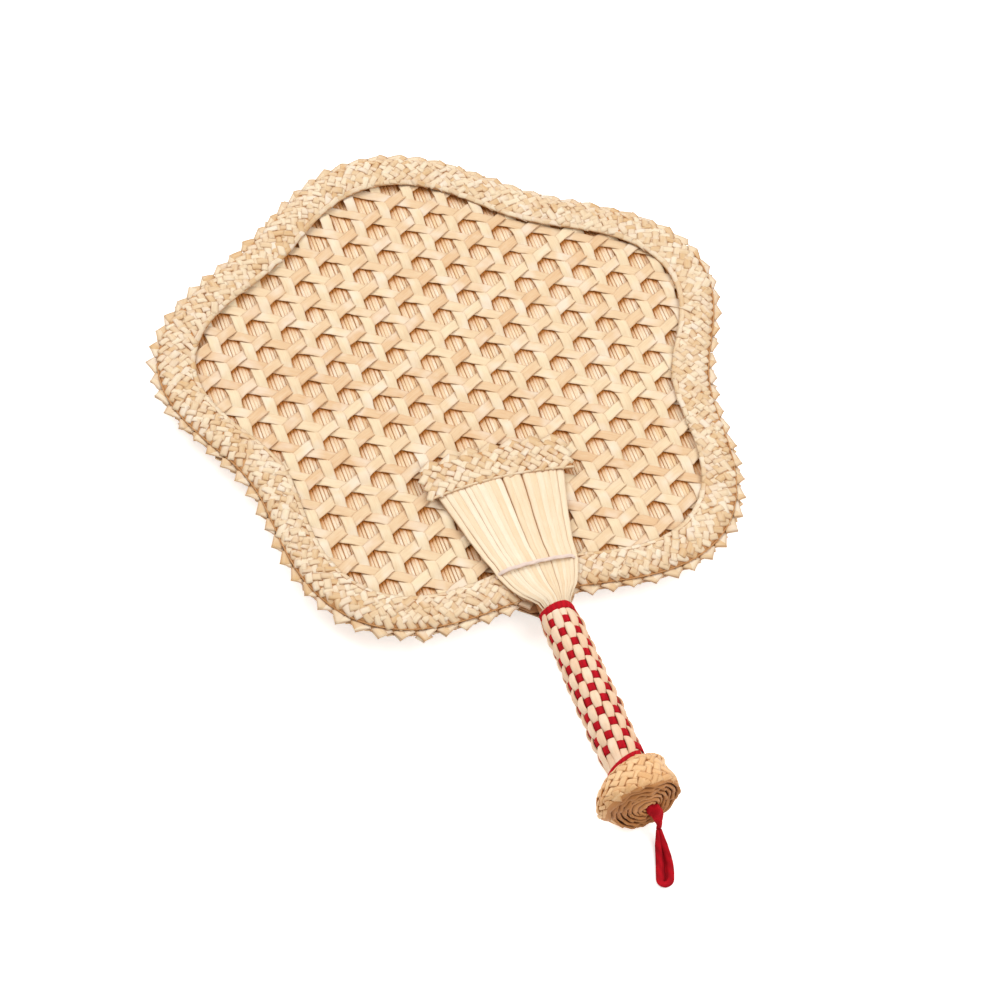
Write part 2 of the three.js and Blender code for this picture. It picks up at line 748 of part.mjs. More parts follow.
const group = new THREE.Group();
group.add(fan);
addPiece(group, "hang_loop", loopGeometry(knot), redCord);
console.log(`knot at ${knot.toArray().map((v) => v.toFixed(2))} mm`);

export default group;
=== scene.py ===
import math

import bmesh
import bpy
import numpy as np
from mathutils import Matrix, Vector


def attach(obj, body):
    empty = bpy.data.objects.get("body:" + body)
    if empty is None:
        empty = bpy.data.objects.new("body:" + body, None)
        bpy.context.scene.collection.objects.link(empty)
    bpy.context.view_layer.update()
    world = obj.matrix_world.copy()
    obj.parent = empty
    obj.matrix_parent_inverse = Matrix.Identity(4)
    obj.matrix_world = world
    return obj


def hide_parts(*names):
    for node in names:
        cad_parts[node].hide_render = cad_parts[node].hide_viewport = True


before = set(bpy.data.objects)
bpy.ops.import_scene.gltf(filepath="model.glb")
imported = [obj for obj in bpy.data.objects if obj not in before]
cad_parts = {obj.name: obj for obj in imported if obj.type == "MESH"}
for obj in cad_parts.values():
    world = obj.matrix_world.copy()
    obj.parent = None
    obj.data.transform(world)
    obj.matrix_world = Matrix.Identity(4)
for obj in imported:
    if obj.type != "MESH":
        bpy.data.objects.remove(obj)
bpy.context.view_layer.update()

bl_info = {
    "name": "Woven straw hand fan",
    "version": (1, 0, 0),
    "blender": (4, 5, 0),
    "location": "View3D > Sidebar > Hand fan",
    "description": "Builds a woven straw hand fan round its packed CAD model",
    "category": "Object",
}

# The fan's own frame lies in the row frame leaning on its pommel: metres and radians
FAN_LEAN = math.radians(-2.0914)
FAN_PLACE = (-0.00032, -0.08987, 0.01474)
FAN_MATRIX = Matrix.Translation(FAN_PLACE) @ Matrix.Rotation(FAN_LEAN, 4, "X")

# Leaf
LINE_PITCH = 0.01593
CROSSING_PITCH = LINE_PITCH / math.cos(math.pi / 6) / 2
WEAVE_LINES = 16
WEAVE_SHIFT = 0.0019
WEAVE_ASIDE = 0.0053
LEAF_MARGIN = 0.022
LEAF_RADIUS = WEAVE_LINES * LINE_PITCH / 2 + LEAF_MARGIN
OUTLINE_SHARES = (
    (1, -0.0576, -0.0024),
    (2, 0.027, -0.0066),
    (3, -0.016, -0.0079),
    (4, -0.0041, 0),
    (5, 0.0791, 0),
    (6, -0.0107, 0),
)
STRAWS_PER_LINE = 9
MAT_INSET = 0.008
STRIP_INSET = 0.009
BORDER_WIDTH = 0.0192
BORDER_SETBACK = 0.0048
TOOTH_PITCH = 0.0106
TOOTH_DEPTH = 0.0028
TOOTH_LEAN = 0.6
TOOTH_WIDTH = 0.0058
TOOTH_REACH = 0.0002
TOOTH_REACH_UP = 0.0013
TOOTH_REACH_ASIDE = 0.0008
TEETH_LEVEL = 0.0011
PLAIT_PITCH = 0.0053
FRONT_BORDER = (0.0028, 0.0051)
BACK_BORDER = (-0.0037, -0.0014)
MAT_LEVELS = (-0.00066, -0.00108)
UPRIGHT_REACH = 0.0023
UPRIGHT_LEVELS = (0.00005, 0.0009, 0.0018)
FALLING_LEVEL = 0.0006
RISING_LEVEL = 0.0012
PLAIT_TURN = math.radians(44)
BAND_SINK = 0.0009
# Distances from a band's rim, and how far its face lies under its level there
BAND_PLACES = (0, 0.0014, 0.004, 0.009, 0.015, BORDER_WIDTH)
BAND_DROPS = (0.0026, 0.0016, 0.0005, 0, 0.0003, 0.0013)

# Grip, splay and pommel: longer and less even than their plain solids
AXIS_Z = 0.0007
CORE_END_Y = -0.1191
SPLAY_LENGTH = 0.0776
SPLAY_HALF = 0.0368
SPLAY_BOW = 0.004
STALK_COUNT = 19
ARC_NEAR = 0.0715
ARC_WIDTH = 0.0223
ARC_HALF_SPAN = 0.038
ARC_ASIDE = -0.0018
FRONT_ARC = (0.0042, 0.0062)
BACK_ARC = (-0.0028, -0.0048)
ARC_FACE_DROP = 0.0008
ARC_RIM_DROP = 0.0012
ARC_ROW_START = 0.0022
THREAD_PLACE = 0.018
THREAD_ASIDE = -0.0027
THREAD_HALF = 0.0207
THREAD_HEIGHT = 0.0073
THREAD_BOW = 0.0009
THREAD_RISE = 0.0015
THREAD_END_DROP = 0.0034
GRIP_START_Y = 0.0036
GRIP_FILL = 0.0087
GRIP_END_Y = -0.1046
GRIP_OVERRUN = 0.002
GRIP_TWIST = 0.7
GRIP_PHASE = -0.24
WEFT_PITCH = 0.00686
START_TILT = 0.34
FIRST_TURN_GAP = 0.0082
END_TILT = 0.3
TILT_RATE = 5
WARP_COUNT = 15
WEFT_TURNS = 12
WEFT_WIDTH = 0.0045
WEFT_START_RADIUS = 0.0094
WEFT_END_RADIUS = 0.0104
WRAP_GAP = 0.0007
WINDING_LEVELS = (0.0091, 0.0099)
CROSSING_STEP = 0.007
CROSSING_SHARE = 0.36
# Radius and breadth of a grip straw: at its start, by the first wrap, at the end, and then
# in the middle of a crossing and beside it
STRAW_TIP = (0.0072, 0.8)
STRAW_START = (0.0074, 0.8)
STRAW_FINISH = (0.0088, 0.9)
STRAW_END = (0.0089, 0.9)
STRAW_UNDER = ((0.0083, 0.62), (0.0091, 0.84))
STRAW_OVER = ((0.0105, 1.03), (0.0101, 0.93))
POMMEL_TOP_Y = -0.1032
POMMEL_LENGTH = 0.0203
POMMEL_TURN = math.radians(12)
POMMEL_PIVOT = (0.0012, -0.1034, 0)
POMMEL_ASIDE = -0.0027
POMMEL_TURNS = 4
POMMEL_RADIUS = 0.02
SHOULDER_PLACE = 0.14
SHOULDER_LENGTH = 0.24
SHOULDER_REACH = 0.0048
BULGE_REACH = 0.0011
SHOULDER_RISE = 0.0022
RIM_SHORT = 0.0055
RIM_TUCK = 0.0016
POMMEL_LEAN = -0.0006
ROLL_PHASE = 3.5
MOUTH_PLACE = (0.003, -0.005)
MOUTH_RADIUS = 0.0018
BAND_RINGS = 300
PLAIT_ROWS = 6
LINE_REACH = 0.2
LINE_STEP = 0.0005
SHORTEST_RUN = 8
MOUTH_TURNS = 3
ROLL_RADIUS = 0.0081
ROLL_PITCH = 0.0116 / 4.5
ROLL_GAP = 0.0008
POMMEL_CELLS = 18
POMMEL_PITCH = 0.0054
POMMEL_ROWS = 7
POMMEL_ROW_START = 0.0013
POMMEL_ROW_PITCH = 0.00275
POMMEL_EDGE_INSET = 0.0016
CELL_SINK = 0.0004
CELL_LIFT = 0.0002
AHEAD = 0.02
BULGE_PLACE = 0.5
TUCK_START = 0.55
TUCK_LENGTH = 0.45
MOUTH_STEPS = 40
ROLL_STEPS = 64
ROLL_END = ((0.14, 1.015), (0.5, 1.04), (0.86, 1.015))
POMMEL_STATIONS = ((0, 0.3), (0.08, 0.6), (0.25, 0.82), (0.5, 0.94), (0.8, 1.03), (1, 0.97))

# Hanging loop. A row of the knot's route: right, out and down in millimetres, share of its
# radius. A row of the loop's: reach and half width in millimetres, share of the knot's height
KNOT_RADIUS = 0.0039
KNOT_RINGS = 40
KNOT_SIDES = 20
ROUTE_STEPS = 24
LOOP_RINGS = 90
LOOP_TIP_SHARE = 0.45
LEAN_IN = 0.8
KNOT_ROUTE = (
    (6.4, -3.2, 4.4, 0.8),
    (7.6, -1, 5.6, 0.9),
    (8.5, 0.7, 7.2, 0.9),
    (9, 2.1, 9, 0.78),
    (9.2, 3.3, 10.8, 0.6),
    (9.2, 4.1, 12.2, 0.45),
    (9.1, 4.6, 13.5, 0.33),
    (9, 4.9, 14.6, 0.3),
)
LOOP_KNOT = (0.00838, -0.21875, 0.00954)
LOOP_TURN = 0.215
LOOP_LEVEL = 0.00145
LOOP_ROUTE = (
    (0.9, 0.7, 0.62),
    (3.4, 0.95, 0.4),
    (6.3, 1.3, 0.18),
    (9.5, 1.75, 0.03),
    (13, 2.2, 0),
    (17.5, 2.6, 0),
    (21.5, 2.75, 0),
    (24.9, 2.7, 0),
    (25.93, 2.49, 0),
    (26.81, 1.91, 0),
    (27.39, 1.03, 0),
    (27.6, 0, 0),
)
LOOP_BOW = 0.0013
MM = 0.001
LEAST_HEIGHT = 0.0001


def colour(code):
    """Linear colour of a six-digit code."""
    parts = [(code >> shift & 255) / 255 for shift in (16, 8, 0)]
    return tuple(p / 12.92 if p <= 0.04045 else ((p + 0.055) / 1.055) ** 2.4 for p in parts)


FADED = colour(0xF1E6D8)
CORD_SHADE_REACH = 0.004

# Stage: places and sizes of the lamps, floor and light
KEY_LAMP = ((-0.85, 1.75, 2.0), 1.9)
FILL_LAMP = ((0.9, -0.6, 1.6), 1.4)
LAMP_AIM = (0, 0.05, 0)
FLOOR_REACH = 6
FLOOR_GLOW = 0.56
SKY_TINT = (1, 0.92, 0.82, 1)


def length_setting(name, description, default):
    return bpy.props.FloatProperty(
        name=name, description=description, default=default, min=0, precision=5, unit="LENGTH"
    )


def colour_setting(name, description, code):
    return bpy.props.FloatVectorProperty(
        name=name, description=description, default=colour(code), size=3, min=0, max=1, subtype="COLOR"
    )


class LeafSettings(bpy.types.PropertyGroup):
    """Sizes of the leaf's straws and strips."""

    strip_width: length_setting("Strip width", "Width of one strip of the weave", 0.0058)
    strip_thickness: length_setting("Strip thickness", "Thickness of one strip of the weave", 0.0005)
    strip_wave: length_setting("Strip wave", "How far a slanting strip rises and dips", 0.0003)
    mat_straw_width: length_setting("Mat straw width", "Width of one straw of the mat", 0.0019)
    mat_straw_thickness: length_setting("Mat straw thickness", "Thickness of one mat straw", 0.0007)
    plait_rise: length_setting("Plait rise", "Height of one straw of a plaited band", 0.0006)
    plait_drop: length_setting("Plait drop", "How far a plaited straw's ends go down", 0.00035)
    rim_width: length_setting("Rim width", "Width of the folded rim of a plaited band", 0.0007)


class HandleSettings(bpy.types.PropertyGroup):
    """Sizes of the grip, splay, pommel and loop."""

    stalk_thickness: length_setting("Stalk thickness", "Thickness of one stalk of the splay", 0.0022)
    grip_straw_width: length_setting("Grip straw width", "Width of one straw round the grip", 0.0046)
    grip_straw_thickness: length_setting("Grip straw thickness", "Thickness of a grip straw", 0.0016)
    winding_thickness: length_setting("Winding thickness", "Thickness of the flat winding", 0.0007)
    thread_width: length_setting("Thread width", "Width of the flat thread at the neck", 0.0021)
    cord_diameter: length_setting("Cord diameter", "Diameter of the hanging loop's cord", 0.0026)


class ColourSettings(bpy.types.PropertyGroup):
    """Colours of the straws, cord and thread."""

    straw_pale: colour_setting("Pale straw", "Lightest tone of the weave", 0xEEDDBC)
    straw_tan: colour_setting("Tan straw", "Darkest tone of the weave", 0xDBB388)
    mat_pale: colour_setting("Pale mat", "Lightest tone of the mat", 0xFAF2DF)
    mat_tan: colour_setting("Tan mat", "Darkest tone of the mat", 0xEFD3A6)
    border_pale: colour_setting("Pale plait", "Lightest tone of the plaited bands", 0xF0E1C6)
    border_tan: colour_setting("Tan plait", "Darkest tone of the plaited bands", 0xD5AE7C)
    stalk_pale: colour_setting("Pale stalk", "Lightest tone of the stalks", 0xF5EBD6)
    stalk_tan: colour_setting("Tan stalk", "Darkest tone of the stalks", 0xE6C89E)
    pommel_pale: colour_setting("Pale pommel", "Lightest tone of the pommel", 0xF4CF9F)
    pommel_tan: colour_setting("Tan pommel", "Darkest tone of the pommel", 0xD8A269)
    # Painted shade: the brown between the turns of the pommel.
    pommel_turn_shade: colour_setting("Pommel hollows", "Tone between the turns of the pommel", 0x8C5422)
    grip_pale: colour_setting("Pale grip straw", "Lightest tone of the grip", 0xF8E0C4)
    grip_tan: colour_setting("Tan grip straw", "Darkest tone of the grip", 0xDDAB80)
    # Painted shadow: the orange brown that the mat is drawn in under the strips.
    mat_shade: colour_setting("Mat hollow", "Tone of the mat under the strips", 0xCC8232)
    # Painted shade: the brown of the creases and hollows, and the darker tone of the rim, backing and core
    # straws.
    crease_shade: colour_setting("Crease", "Tone in the creases between straws", 0xB46C28)
    cord_red: colour_setting("Red cord", "Tone of the winding and the loop", 0xCE0A20)
    # Dark red: the low tone of the ply pattern, and also the painted shade in the cord's hollows.
    cord_dark: colour_setting("Dark red", "Tone of the winding's hollows", 0x8A0616)
    thread_white: colour_setting("Thread", "Tone of the thread at the neck", 0xF0DCD2)


class StageSettings(bpy.types.PropertyGroup):
    """Camera, floor and lamps."""

    camera_place: bpy.props.FloatVectorProperty(
        name="Camera place",
        description="Where the camera stands",
        default=(-0.446, -0.92613, 1.44028),
        subtype="TRANSLATION",
    )
    camera_turn: bpy.props.FloatVectorProperty(
        name="Camera turn",
        description="How the camera is turned",
        default=[math.radians(a) for a in (34.7746, -5.069, -18.8261)],
        subtype="EULER",
    )
    lens: bpy.props.FloatProperty(
        name="Lens", description="Focal length of the camera", default=125.75, unit="CAMERA"
    )
    floor_tone: colour_setting("Floor", "Tone of the floor", 0xFCFCFC)
    key_power: bpy.props.FloatProperty(
        name="Key lamp", description="Power of the lamp over the leaf's tip", default=45.5, unit="POWER"
    )
    fill_power: bpy.props.FloatProperty(
        name="Fill lamp", description="Power of the lamp over the camera", default=18, unit="POWER"
    )
    sky_light: bpy.props.FloatProperty(
        name="Sky light", description="Strength of the light from all round", default=0.5
    )


# ---- node helpers


def add_node(tree, kind, inputs=None, **settings):
    """Adds a node, sets what it is told and joins the sockets that it is given."""
    made = tree.nodes.new(kind)
    for key, value in settings.items():
        setattr(made, key, value)
    for key, value in (inputs or {}).items():
        if isinstance(value, bpy.types.NodeSocket):
            tree.links.new(value, made.inputs[key])
        else:
            made.inputs[key].default_value = value
    return made


def maths(tree, operation, first, second=0.0):
    """Output of one maths node."""
    return add_node(tree, "ShaderNodeMath", {0: first, 1: second}, operation=operation).outputs[0]


def times(tree, first, second):
    """Output of a node that multiplies."""
    return maths(tree, "MULTIPLY", first, second)


def named(tree, name, kind="FLOAT"):
    """Output of a named attribute in a geometry tree."""
    made = add_node(tree, "GeometryNodeInputNamedAttribute", {"Name": name}, data_type=kind)
    return made.outputs["Attribute"]


def store(tree, geometry, name, value):
    """Stores a number on the geometry's points under a name."""
    inputs = {"Geometry": geometry, "Name": name, "Value": value}
    kinds = {"data_type": "FLOAT", "domain": "POINT"}
    return add_node(tree, "GeometryNodeStoreNamedAttribute", inputs, **kinds).outputs["Geometry"]


def geometry_tree(name, sockets):
    """New geometry tree with named inputs. Returns the tree and its input ports."""
    tree = bpy.data.node_groups.new(name, "GeometryNodeTree")
    tree.interface.new_socket("Geometry", in_out="INPUT", socket_type="NodeSocketGeometry")
    for label, kind, default in sockets:
        socket = tree.interface.new_socket(label, in_out="INPUT", socket_type=f"NodeSocket{kind}")
        if default is not None:
            socket.default_value = default
    tree.interface.new_socket("Geometry", in_out="OUTPUT", socket_type="NodeSocketGeometry")
    return tree, tree.nodes.new("NodeGroupInput").outputs


def close_tree(tree, geometry, ports):
    """Ends a geometry tree: real geometry and the material."""
    real = add_node(tree, "GeometryNodeRealizeInstances", {"Geometry": geometry})
    finish = {"Geometry": real.outputs[0], "Material": ports["Material"]}
    painted = add_node(tree, "GeometryNodeSetMaterial", finish)
    add_node(tree, "NodeGroupOutput", {"Geometry": painted.outputs[0]})


def sweep_tree():
    """Tree that lays one flattened straw along each open line of a mesh."""
    sockets = [
        ("Width", "Float", 0.005),
        ("Thickness", "Float", 0.0005),
        ("Squareness", "Float", 1.0),
        ("Sides", "Int", 8),
        ("Material", "Material", None),
    ]
    tree, ports = geometry_tree("Straws along lines", sockets)
    curve = add_node(tree, "GeometryNodeMeshToCurve", {"Mesh": ports["Geometry"]}).outputs[0]
    facing = {"Curve": curve, "Normal": named(tree, "face", "FLOAT_VECTOR")}
    curve = add_node(tree, "GeometryNodeSetCurveNormal", facing, mode="FREE").outputs[0]
    kept = add_node(tree, "GeometryNodeCaptureAttribute")
    kept.capture_items.new("VECTOR", "Run")
    tree.links.new(curve, kept.inputs["Geometry"])
    tangent = tree.nodes.new("GeometryNodeInputTangent")
    tree.links.new(tangent.outputs[0], kept.inputs["Run"])
    circle = add_node(
        tree, "GeometryNodeCurvePrimitiveCircle", {"Resolution": ports["Sides"], "Radius": 1.0}
    )
    place = tree.nodes.new("GeometryNodeInputPosition")
    split = add_node(tree, "ShaderNodeSeparateXYZ", {0: place.outputs[0]})
    flat = []
    for axis, size in ((0, ports["Thickness"]), (1, ports["Width"])):
        bare = maths(tree, "ABSOLUTE", split.outputs[axis])
        shaped = maths(tree, "POWER", bare, ports["Squareness"])
        signed = times(tree, shaped, maths(tree, "SIGN", split.outputs[axis]))
        flat.append(times(tree, signed, times(tree, size, 0.5)))
    section = add_node(tree, "ShaderNodeCombineXYZ", {0: flat[0], 1: flat[1]})
    across = add_node(tree, "GeometryNodeCaptureAttribute")
    across.capture_items.new("FLOAT", "Across")
    tree.links.new(circle.outputs[0], across.inputs["Geometry"])
    tree.links.new(split.outputs[1], across.inputs["Across"])
    moved = {"Geometry": across.outputs["Geometry"], "Position": section.outputs[0]}
    profile = add_node(tree, "GeometryNodeSetPosition", moved)
    swept = add_node(
        tree,
        "GeometryNodeCurveToMesh",
        {
            "Curve": kept.outputs["Geometry"],
            "Profile Curve": profile.outputs[0],
            "Scale": named(tree, "breadth"),
            "Fill Caps": True,
        },
    )
    lean = times(tree, named(tree, "slant"), across.outputs["Across"])
    lean = times(tree, lean, times(tree, ports["Width"], 0.5))
    shift = add_node(
        tree, "ShaderNodeVectorMath", {0: kept.outputs["Run"], "Scale": lean}, operation="SCALE"
    )
    slanted = {"Geometry": swept.outputs[0], "Offset": shift.outputs[0]}
    shape = add_node(tree, "GeometryNodeSetPosition", slanted).outputs[0]
    smooth = add_node(tree, "GeometryNodeSetShadeSmooth", {"Geometry": shape})
    close_tree(tree, store(tree, smooth.outputs[0], "across", across.outputs["Across"]), ports)
    return tree


def plait_tree():
    """Tree that sets one arched piece of straw on each point of a mesh."""
    sockets = [
        ("Rise", "Float", 0.001),
        ("Drop", "Float", 0.001),
        ("Material", "Material", None),
    ]
    tree, ports = geometry_tree("Plaited straws", sockets)
    cube = add_node(
        tree,
        "GeometryNodeMeshCube",
        {"Size": (1, 1, 1), "Vertices X": 6, "Vertices Y": 4, "Vertices Z": 2},
    )
    place = tree.nodes.new("GeometryNodeInputPosition")
    split = add_node(tree, "ShaderNodeSeparateXYZ", {0: place.outputs[0]})
    x, y, z = split.outputs
    along_square = times(tree, times(tree, x, x), 4.0)
    across_square = times(tree, times(tree, y, y), 4.0)
    dome = maths(tree, "SUBTRACT", 1.0, times(tree, across_square, 0.35))
    top = times(tree, maths(tree, "ADD", z, 0.5), dome)
    rise = times(tree, top, ports["Rise"])
    height = maths(tree, "SUBTRACT", rise, times(tree, along_square, ports["Drop"]))
    shaped = add_node(tree, "ShaderNodeCombineXYZ", {0: x, 1: y, 2: height})
    kept = store(tree, cube.outputs[0], "across", times(tree, y, 2.0))
    kept = store(tree, kept, "along", times(tree, x, 0.007))
    cell = add_node(tree, "GeometryNodeSetPosition", {"Geometry": kept, "Position": shaped.outputs[0]})
    normal = tree.nodes.new("GeometryNodeInputNormal").outputs[0]
    facing = add_node(tree, "ShaderNodeSeparateXYZ", {0: normal})
    face = maths(tree, "GREATER_THAN", maths(tree, "ABSOLUTE", facing.outputs[2]), 0.5)
    cell = add_node(tree, "GeometryNodeSetShadeSmooth", {"Geometry": cell.outputs[0], "Selection": face})
    turn = add_node(tree, "FunctionNodeEulerToRotation", {0: named(tree, "turn", "FLOAT_VECTOR")})
    placed = add_node(
        tree,
        "GeometryNodeInstanceOnPoints",
        {
            "Points": ports["Geometry"],
            "Instance": cell.outputs[0],
            "Rotation": turn.outputs[0],
            "Scale": named(tree, "size", "FLOAT_VECTOR"),
        },
    )
    close_tree(tree, placed.outputs[0], ports)
    return tree


TREES = {}


def tree_named(make):
    """The tree that a function makes, made once."""
    if make.__name__ not in TREES:
        TREES[make.__name__] = make()
    return TREES[make.__name__]


def grown(name, mesh, tree, values):
    """Plain mesh object from a mesh of lines or points, a geometry tree and its inputs."""
    seed = bpy.data.objects.new(name + "_lines", mesh)
    bpy.context.scene.collection.objects.link(seed)
    modifier = seed.modifiers.new("Build", "NODES")
    modifier.node_group = tree
    for item in tree.interface.items_tree:
        if item.in_out == "INPUT" and item.name in values:
            modifier[item.identifier] = values[item.name]
    bpy.context.view_layer.update()
    evaluated = seed.evaluated_get(bpy.context.evaluated_depsgraph_get())
    result = bpy.data.meshes.new_from_object(evaluated)
    seed.modifiers.remove(modifier)
    bpy.data.objects.remove(seed)
    bpy.data.meshes.remove(mesh)
    return piece_object(name, result)


def piece_object(name, mesh):
    """Object that shows a mesh, with the same name."""
    mesh.name = name
    made = bpy.data.objects.new(name, mesh)
    bpy.context.scene.collection.objects.link(made)
    return made


def swept(name, lines, width, thickness, squareness, material, sides=12):
    """Mesh object of straws laid along lines."""
    sizes = {"Width": width, "Thickness": thickness, "Squareness": squareness, "Sides": sides}
    tree = tree_named(sweep_tree)
    return grown(name, lines_mesh(lines), tree, {**sizes, "Material": material})


def plaited(name, cells, leaf, material, rise=1.0):
    """Mesh object of a plait's cells."""
    values = {"Rise": leaf.plait_rise * rise, "Drop": leaf.plait_drop, "Material": material}
    return grown(name, cells_mesh(cells), tree_named(plait_tree), values)


def skinned(name, rings, material, loop=False):
    """Mesh object through a row of rings."""
    return piece_object(name, skin_mesh(name, rings, material, loop))


def settle(piece, nodes, body="fan", lean=True):
    """Moves a piece into the row frame, ties it to its body and hides its CAD nodes."""
    if lean:
        piece.data.transform(FAN_MATRIX)
        places = np.empty(len(piece.data.vertices) * 3, np.float32)
        piece.data.vertices.foreach_get("co", places)
        places[2::3] = np.maximum(places[2::3], LEAST_HEIGHT)
        piece.data.vertices.foreach_set("co", places)
    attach(piece, body)
    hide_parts(*nodes)


def numbered(name, count):
    """Names of the CAD nodes of one family."""
    return [f"{name}_{i:02d}" for i in range(1, count + 1)]


# ---- lines, points and skins as meshes


def set_values(mesh, values):
    """Writes numbers and vectors on a mesh's points under their names."""
    for name, data in values.items():
        data = np.asarray(data, np.float32)
        kind, key = ("FLOAT", "value") if data.ndim == 1 else ("FLOAT_VECTOR", "vector")
        mesh.attributes.new(name, kind, "POINT").data.foreach_set(key, data.ravel())


def line(points, tone, face=(0, 0, 1), breadth=1.0, slant=0.0):
    """One straw's centre line, with what its sweep needs at each point."""
    points = np.asarray(points, float)
    count = len(points)
    steps = np.linalg.norm(np.diff(points, axis=0), axis=1)
    return {
        "points": points,
        "along": np.concatenate([[0], np.cumsum(steps)]),
        "tone": np.full(count, tone),
        "face": np.broadcast_to(np.asarray(face, float), (count, 3)),
        "breadth": np.broadcast_to(np.asarray(breadth, float), (count,)),
        "slant": np.broadcast_to(np.asarray(slant, float), (count,)),
    }


def lines_mesh(lines):
    """Mesh of open lines."""
    mesh = bpy.data.meshes.new("lines")
    edges, start = [], 0
    for one in lines:
        count = len(one["points"])
        edges += [(start + i, start + i + 1) for i in range(count - 1)]
        start += count
    mesh.from_pydata(np.concatenate([one["points"] for one in lines]).tolist(), edges, [])
    keys = ("along", "tone", "face", "breadth", "slant")
    set_values(mesh, {key: np.concatenate([one[key] for one in lines]) for key in keys})
    return mesh


def cells_mesh(cells):
    """Mesh of points, one for each plaited straw: place, long way, outward way, size, tone."""
    mesh = bpy.data.meshes.new("points")
    mesh.from_pydata([cell[0] for cell in cells], [], [])
    turns = []
    for _, run, out, _, _ in cells:
        out = Vector(out).normalized()
        side = out.cross(Vector(run)).normalized()
        turns.append(Matrix((side.cross(out), side, out)).transposed().to_euler())
    values = {
        "turn": turns,
        "size": [cell[3] for cell in cells],
        "tone": [cell[4] for cell in cells],
    }
    set_values(mesh, values)
    return mesh


def skin_mesh(name, rings, material, loop=False):
    """Closed mesh through a row of rings, with its place along and across as attributes."""
    rings = np.asarray(rings, float)
    count, sides = rings.shape[:2]
    faces = []
    for k in range(count if loop else count - 1):
        here, ahead = k * sides, (k + 1) % count * sides
        for i in range(sides):
            j = (i + 1) % sides
            faces.append((here + i, here + j, ahead + j, ahead + i))
    if not loop:
        faces.append(tuple(range(sides))[::-1])
        faces.append(tuple((count - 1) * sides + i for i in range(sides)))
    mesh = bpy.data.meshes.new(name)
    mesh.from_pydata(rings.reshape(-1, 3).tolist(), [], faces)
    steps = np.linalg.norm(np.diff(rings.mean(axis=1), axis=0), axis=1)
    values = {
        "along": np.repeat(np.concatenate([[0], np.cumsum(steps)]), sides),
        "across": np.tile(np.cos(2 * math.pi * np.arange(sides) / sides), count),
        "tone": np.full(count * sides, 0.5),
    }
    set_values(mesh, values)
    mesh.polygons.foreach_set("use_smooth", [True] * len(mesh.polygons))
    mesh.materials.append(material)
    outward(mesh)
    return mesh


def outward(mesh):
    """Turns a closed mesh's faces outwards."""
    shell = bmesh.new()
    shell.from_mesh(mesh)
    bmesh.ops.recalc_face_normals(shell, faces=shell.faces)
    shell.to_mesh(mesh)
    shell.free()


# ---- materials


def new_material(name):
    """Material with an empty node tree, and that tree."""
    made = bpy.data.materials.new(name)
    made.use_nodes = True
    made.node_tree.nodes.clear()
    return made, made.node_tree


def kept_value(tree, name):
    """Output of a number that the mesh keeps under a name."""
    return add_node(tree, "ShaderNodeAttribute", attribute_name=name).outputs["Fac"]


def noise(tree, place, scale, detail):
    """Output of a noise."""
    inputs = {"Vector": place, "Scale": scale, "Detail": detail}
    return add_node(tree, "ShaderNodeTexNoise", inputs).outputs["Fac"]


def summed(tree, start, *parts):
    """A value with parts added to it, each a value and its weight."""
    for value, weight in parts:
        start = maths(tree, "ADD", start, times(tree, value, weight))
    return start


def mixed_colour(tree, share, first, second):
    """Colour that goes from the first to the second with a share."""
    ends = {0: share, 6: first, 7: second}
    return add_node(tree, "ShaderNodeMix", ends, data_type="RGBA").outputs[2]


def close_material(tree, height, bump, distance, inputs):
    """Ends a material: its bumps, its shader and its output."""
    bumps = {"Height": height, "Strength": bump, "Distance": distance}
    normal = add_node(tree, "ShaderNodeBump", bumps).outputs[0]
    shader = add_node(tree, "ShaderNodeBsdfPrincipled", {**inputs, "Normal": normal})
    add_node(tree, "ShaderNodeOutputMaterial", {"Surface": shader.outputs[0]})


def painted_shade_share(tree, reach, lean, opened):
    """Painted shade: how far a place is closed in by its neighbours, more so on the side that it leans to."""
    face = tree.nodes.new("ShaderNodeNewGeometry").outputs["Normal"]
    leaned = add_node(tree, "ShaderNodeVectorMath", {0: face, 1: lean}, operation="ADD").outputs[0]
    leaned = add_node(tree, "ShaderNodeVectorMath", {0: leaned}, operation="NORMALIZE").outputs[0]
    inputs = {"Distance": reach, "Normal": leaned}
    near = add_node(tree, "ShaderNodeAmbientOcclusion", inputs, samples=6).outputs["AO"]
    limits = {"From Min": opened - 0.5, "From Max": opened, "To Min": 1.0, "To Max": 0.0}
    return add_node(tree, "ShaderNodeMapRange", {"Value": near, **limits}).outputs[0]


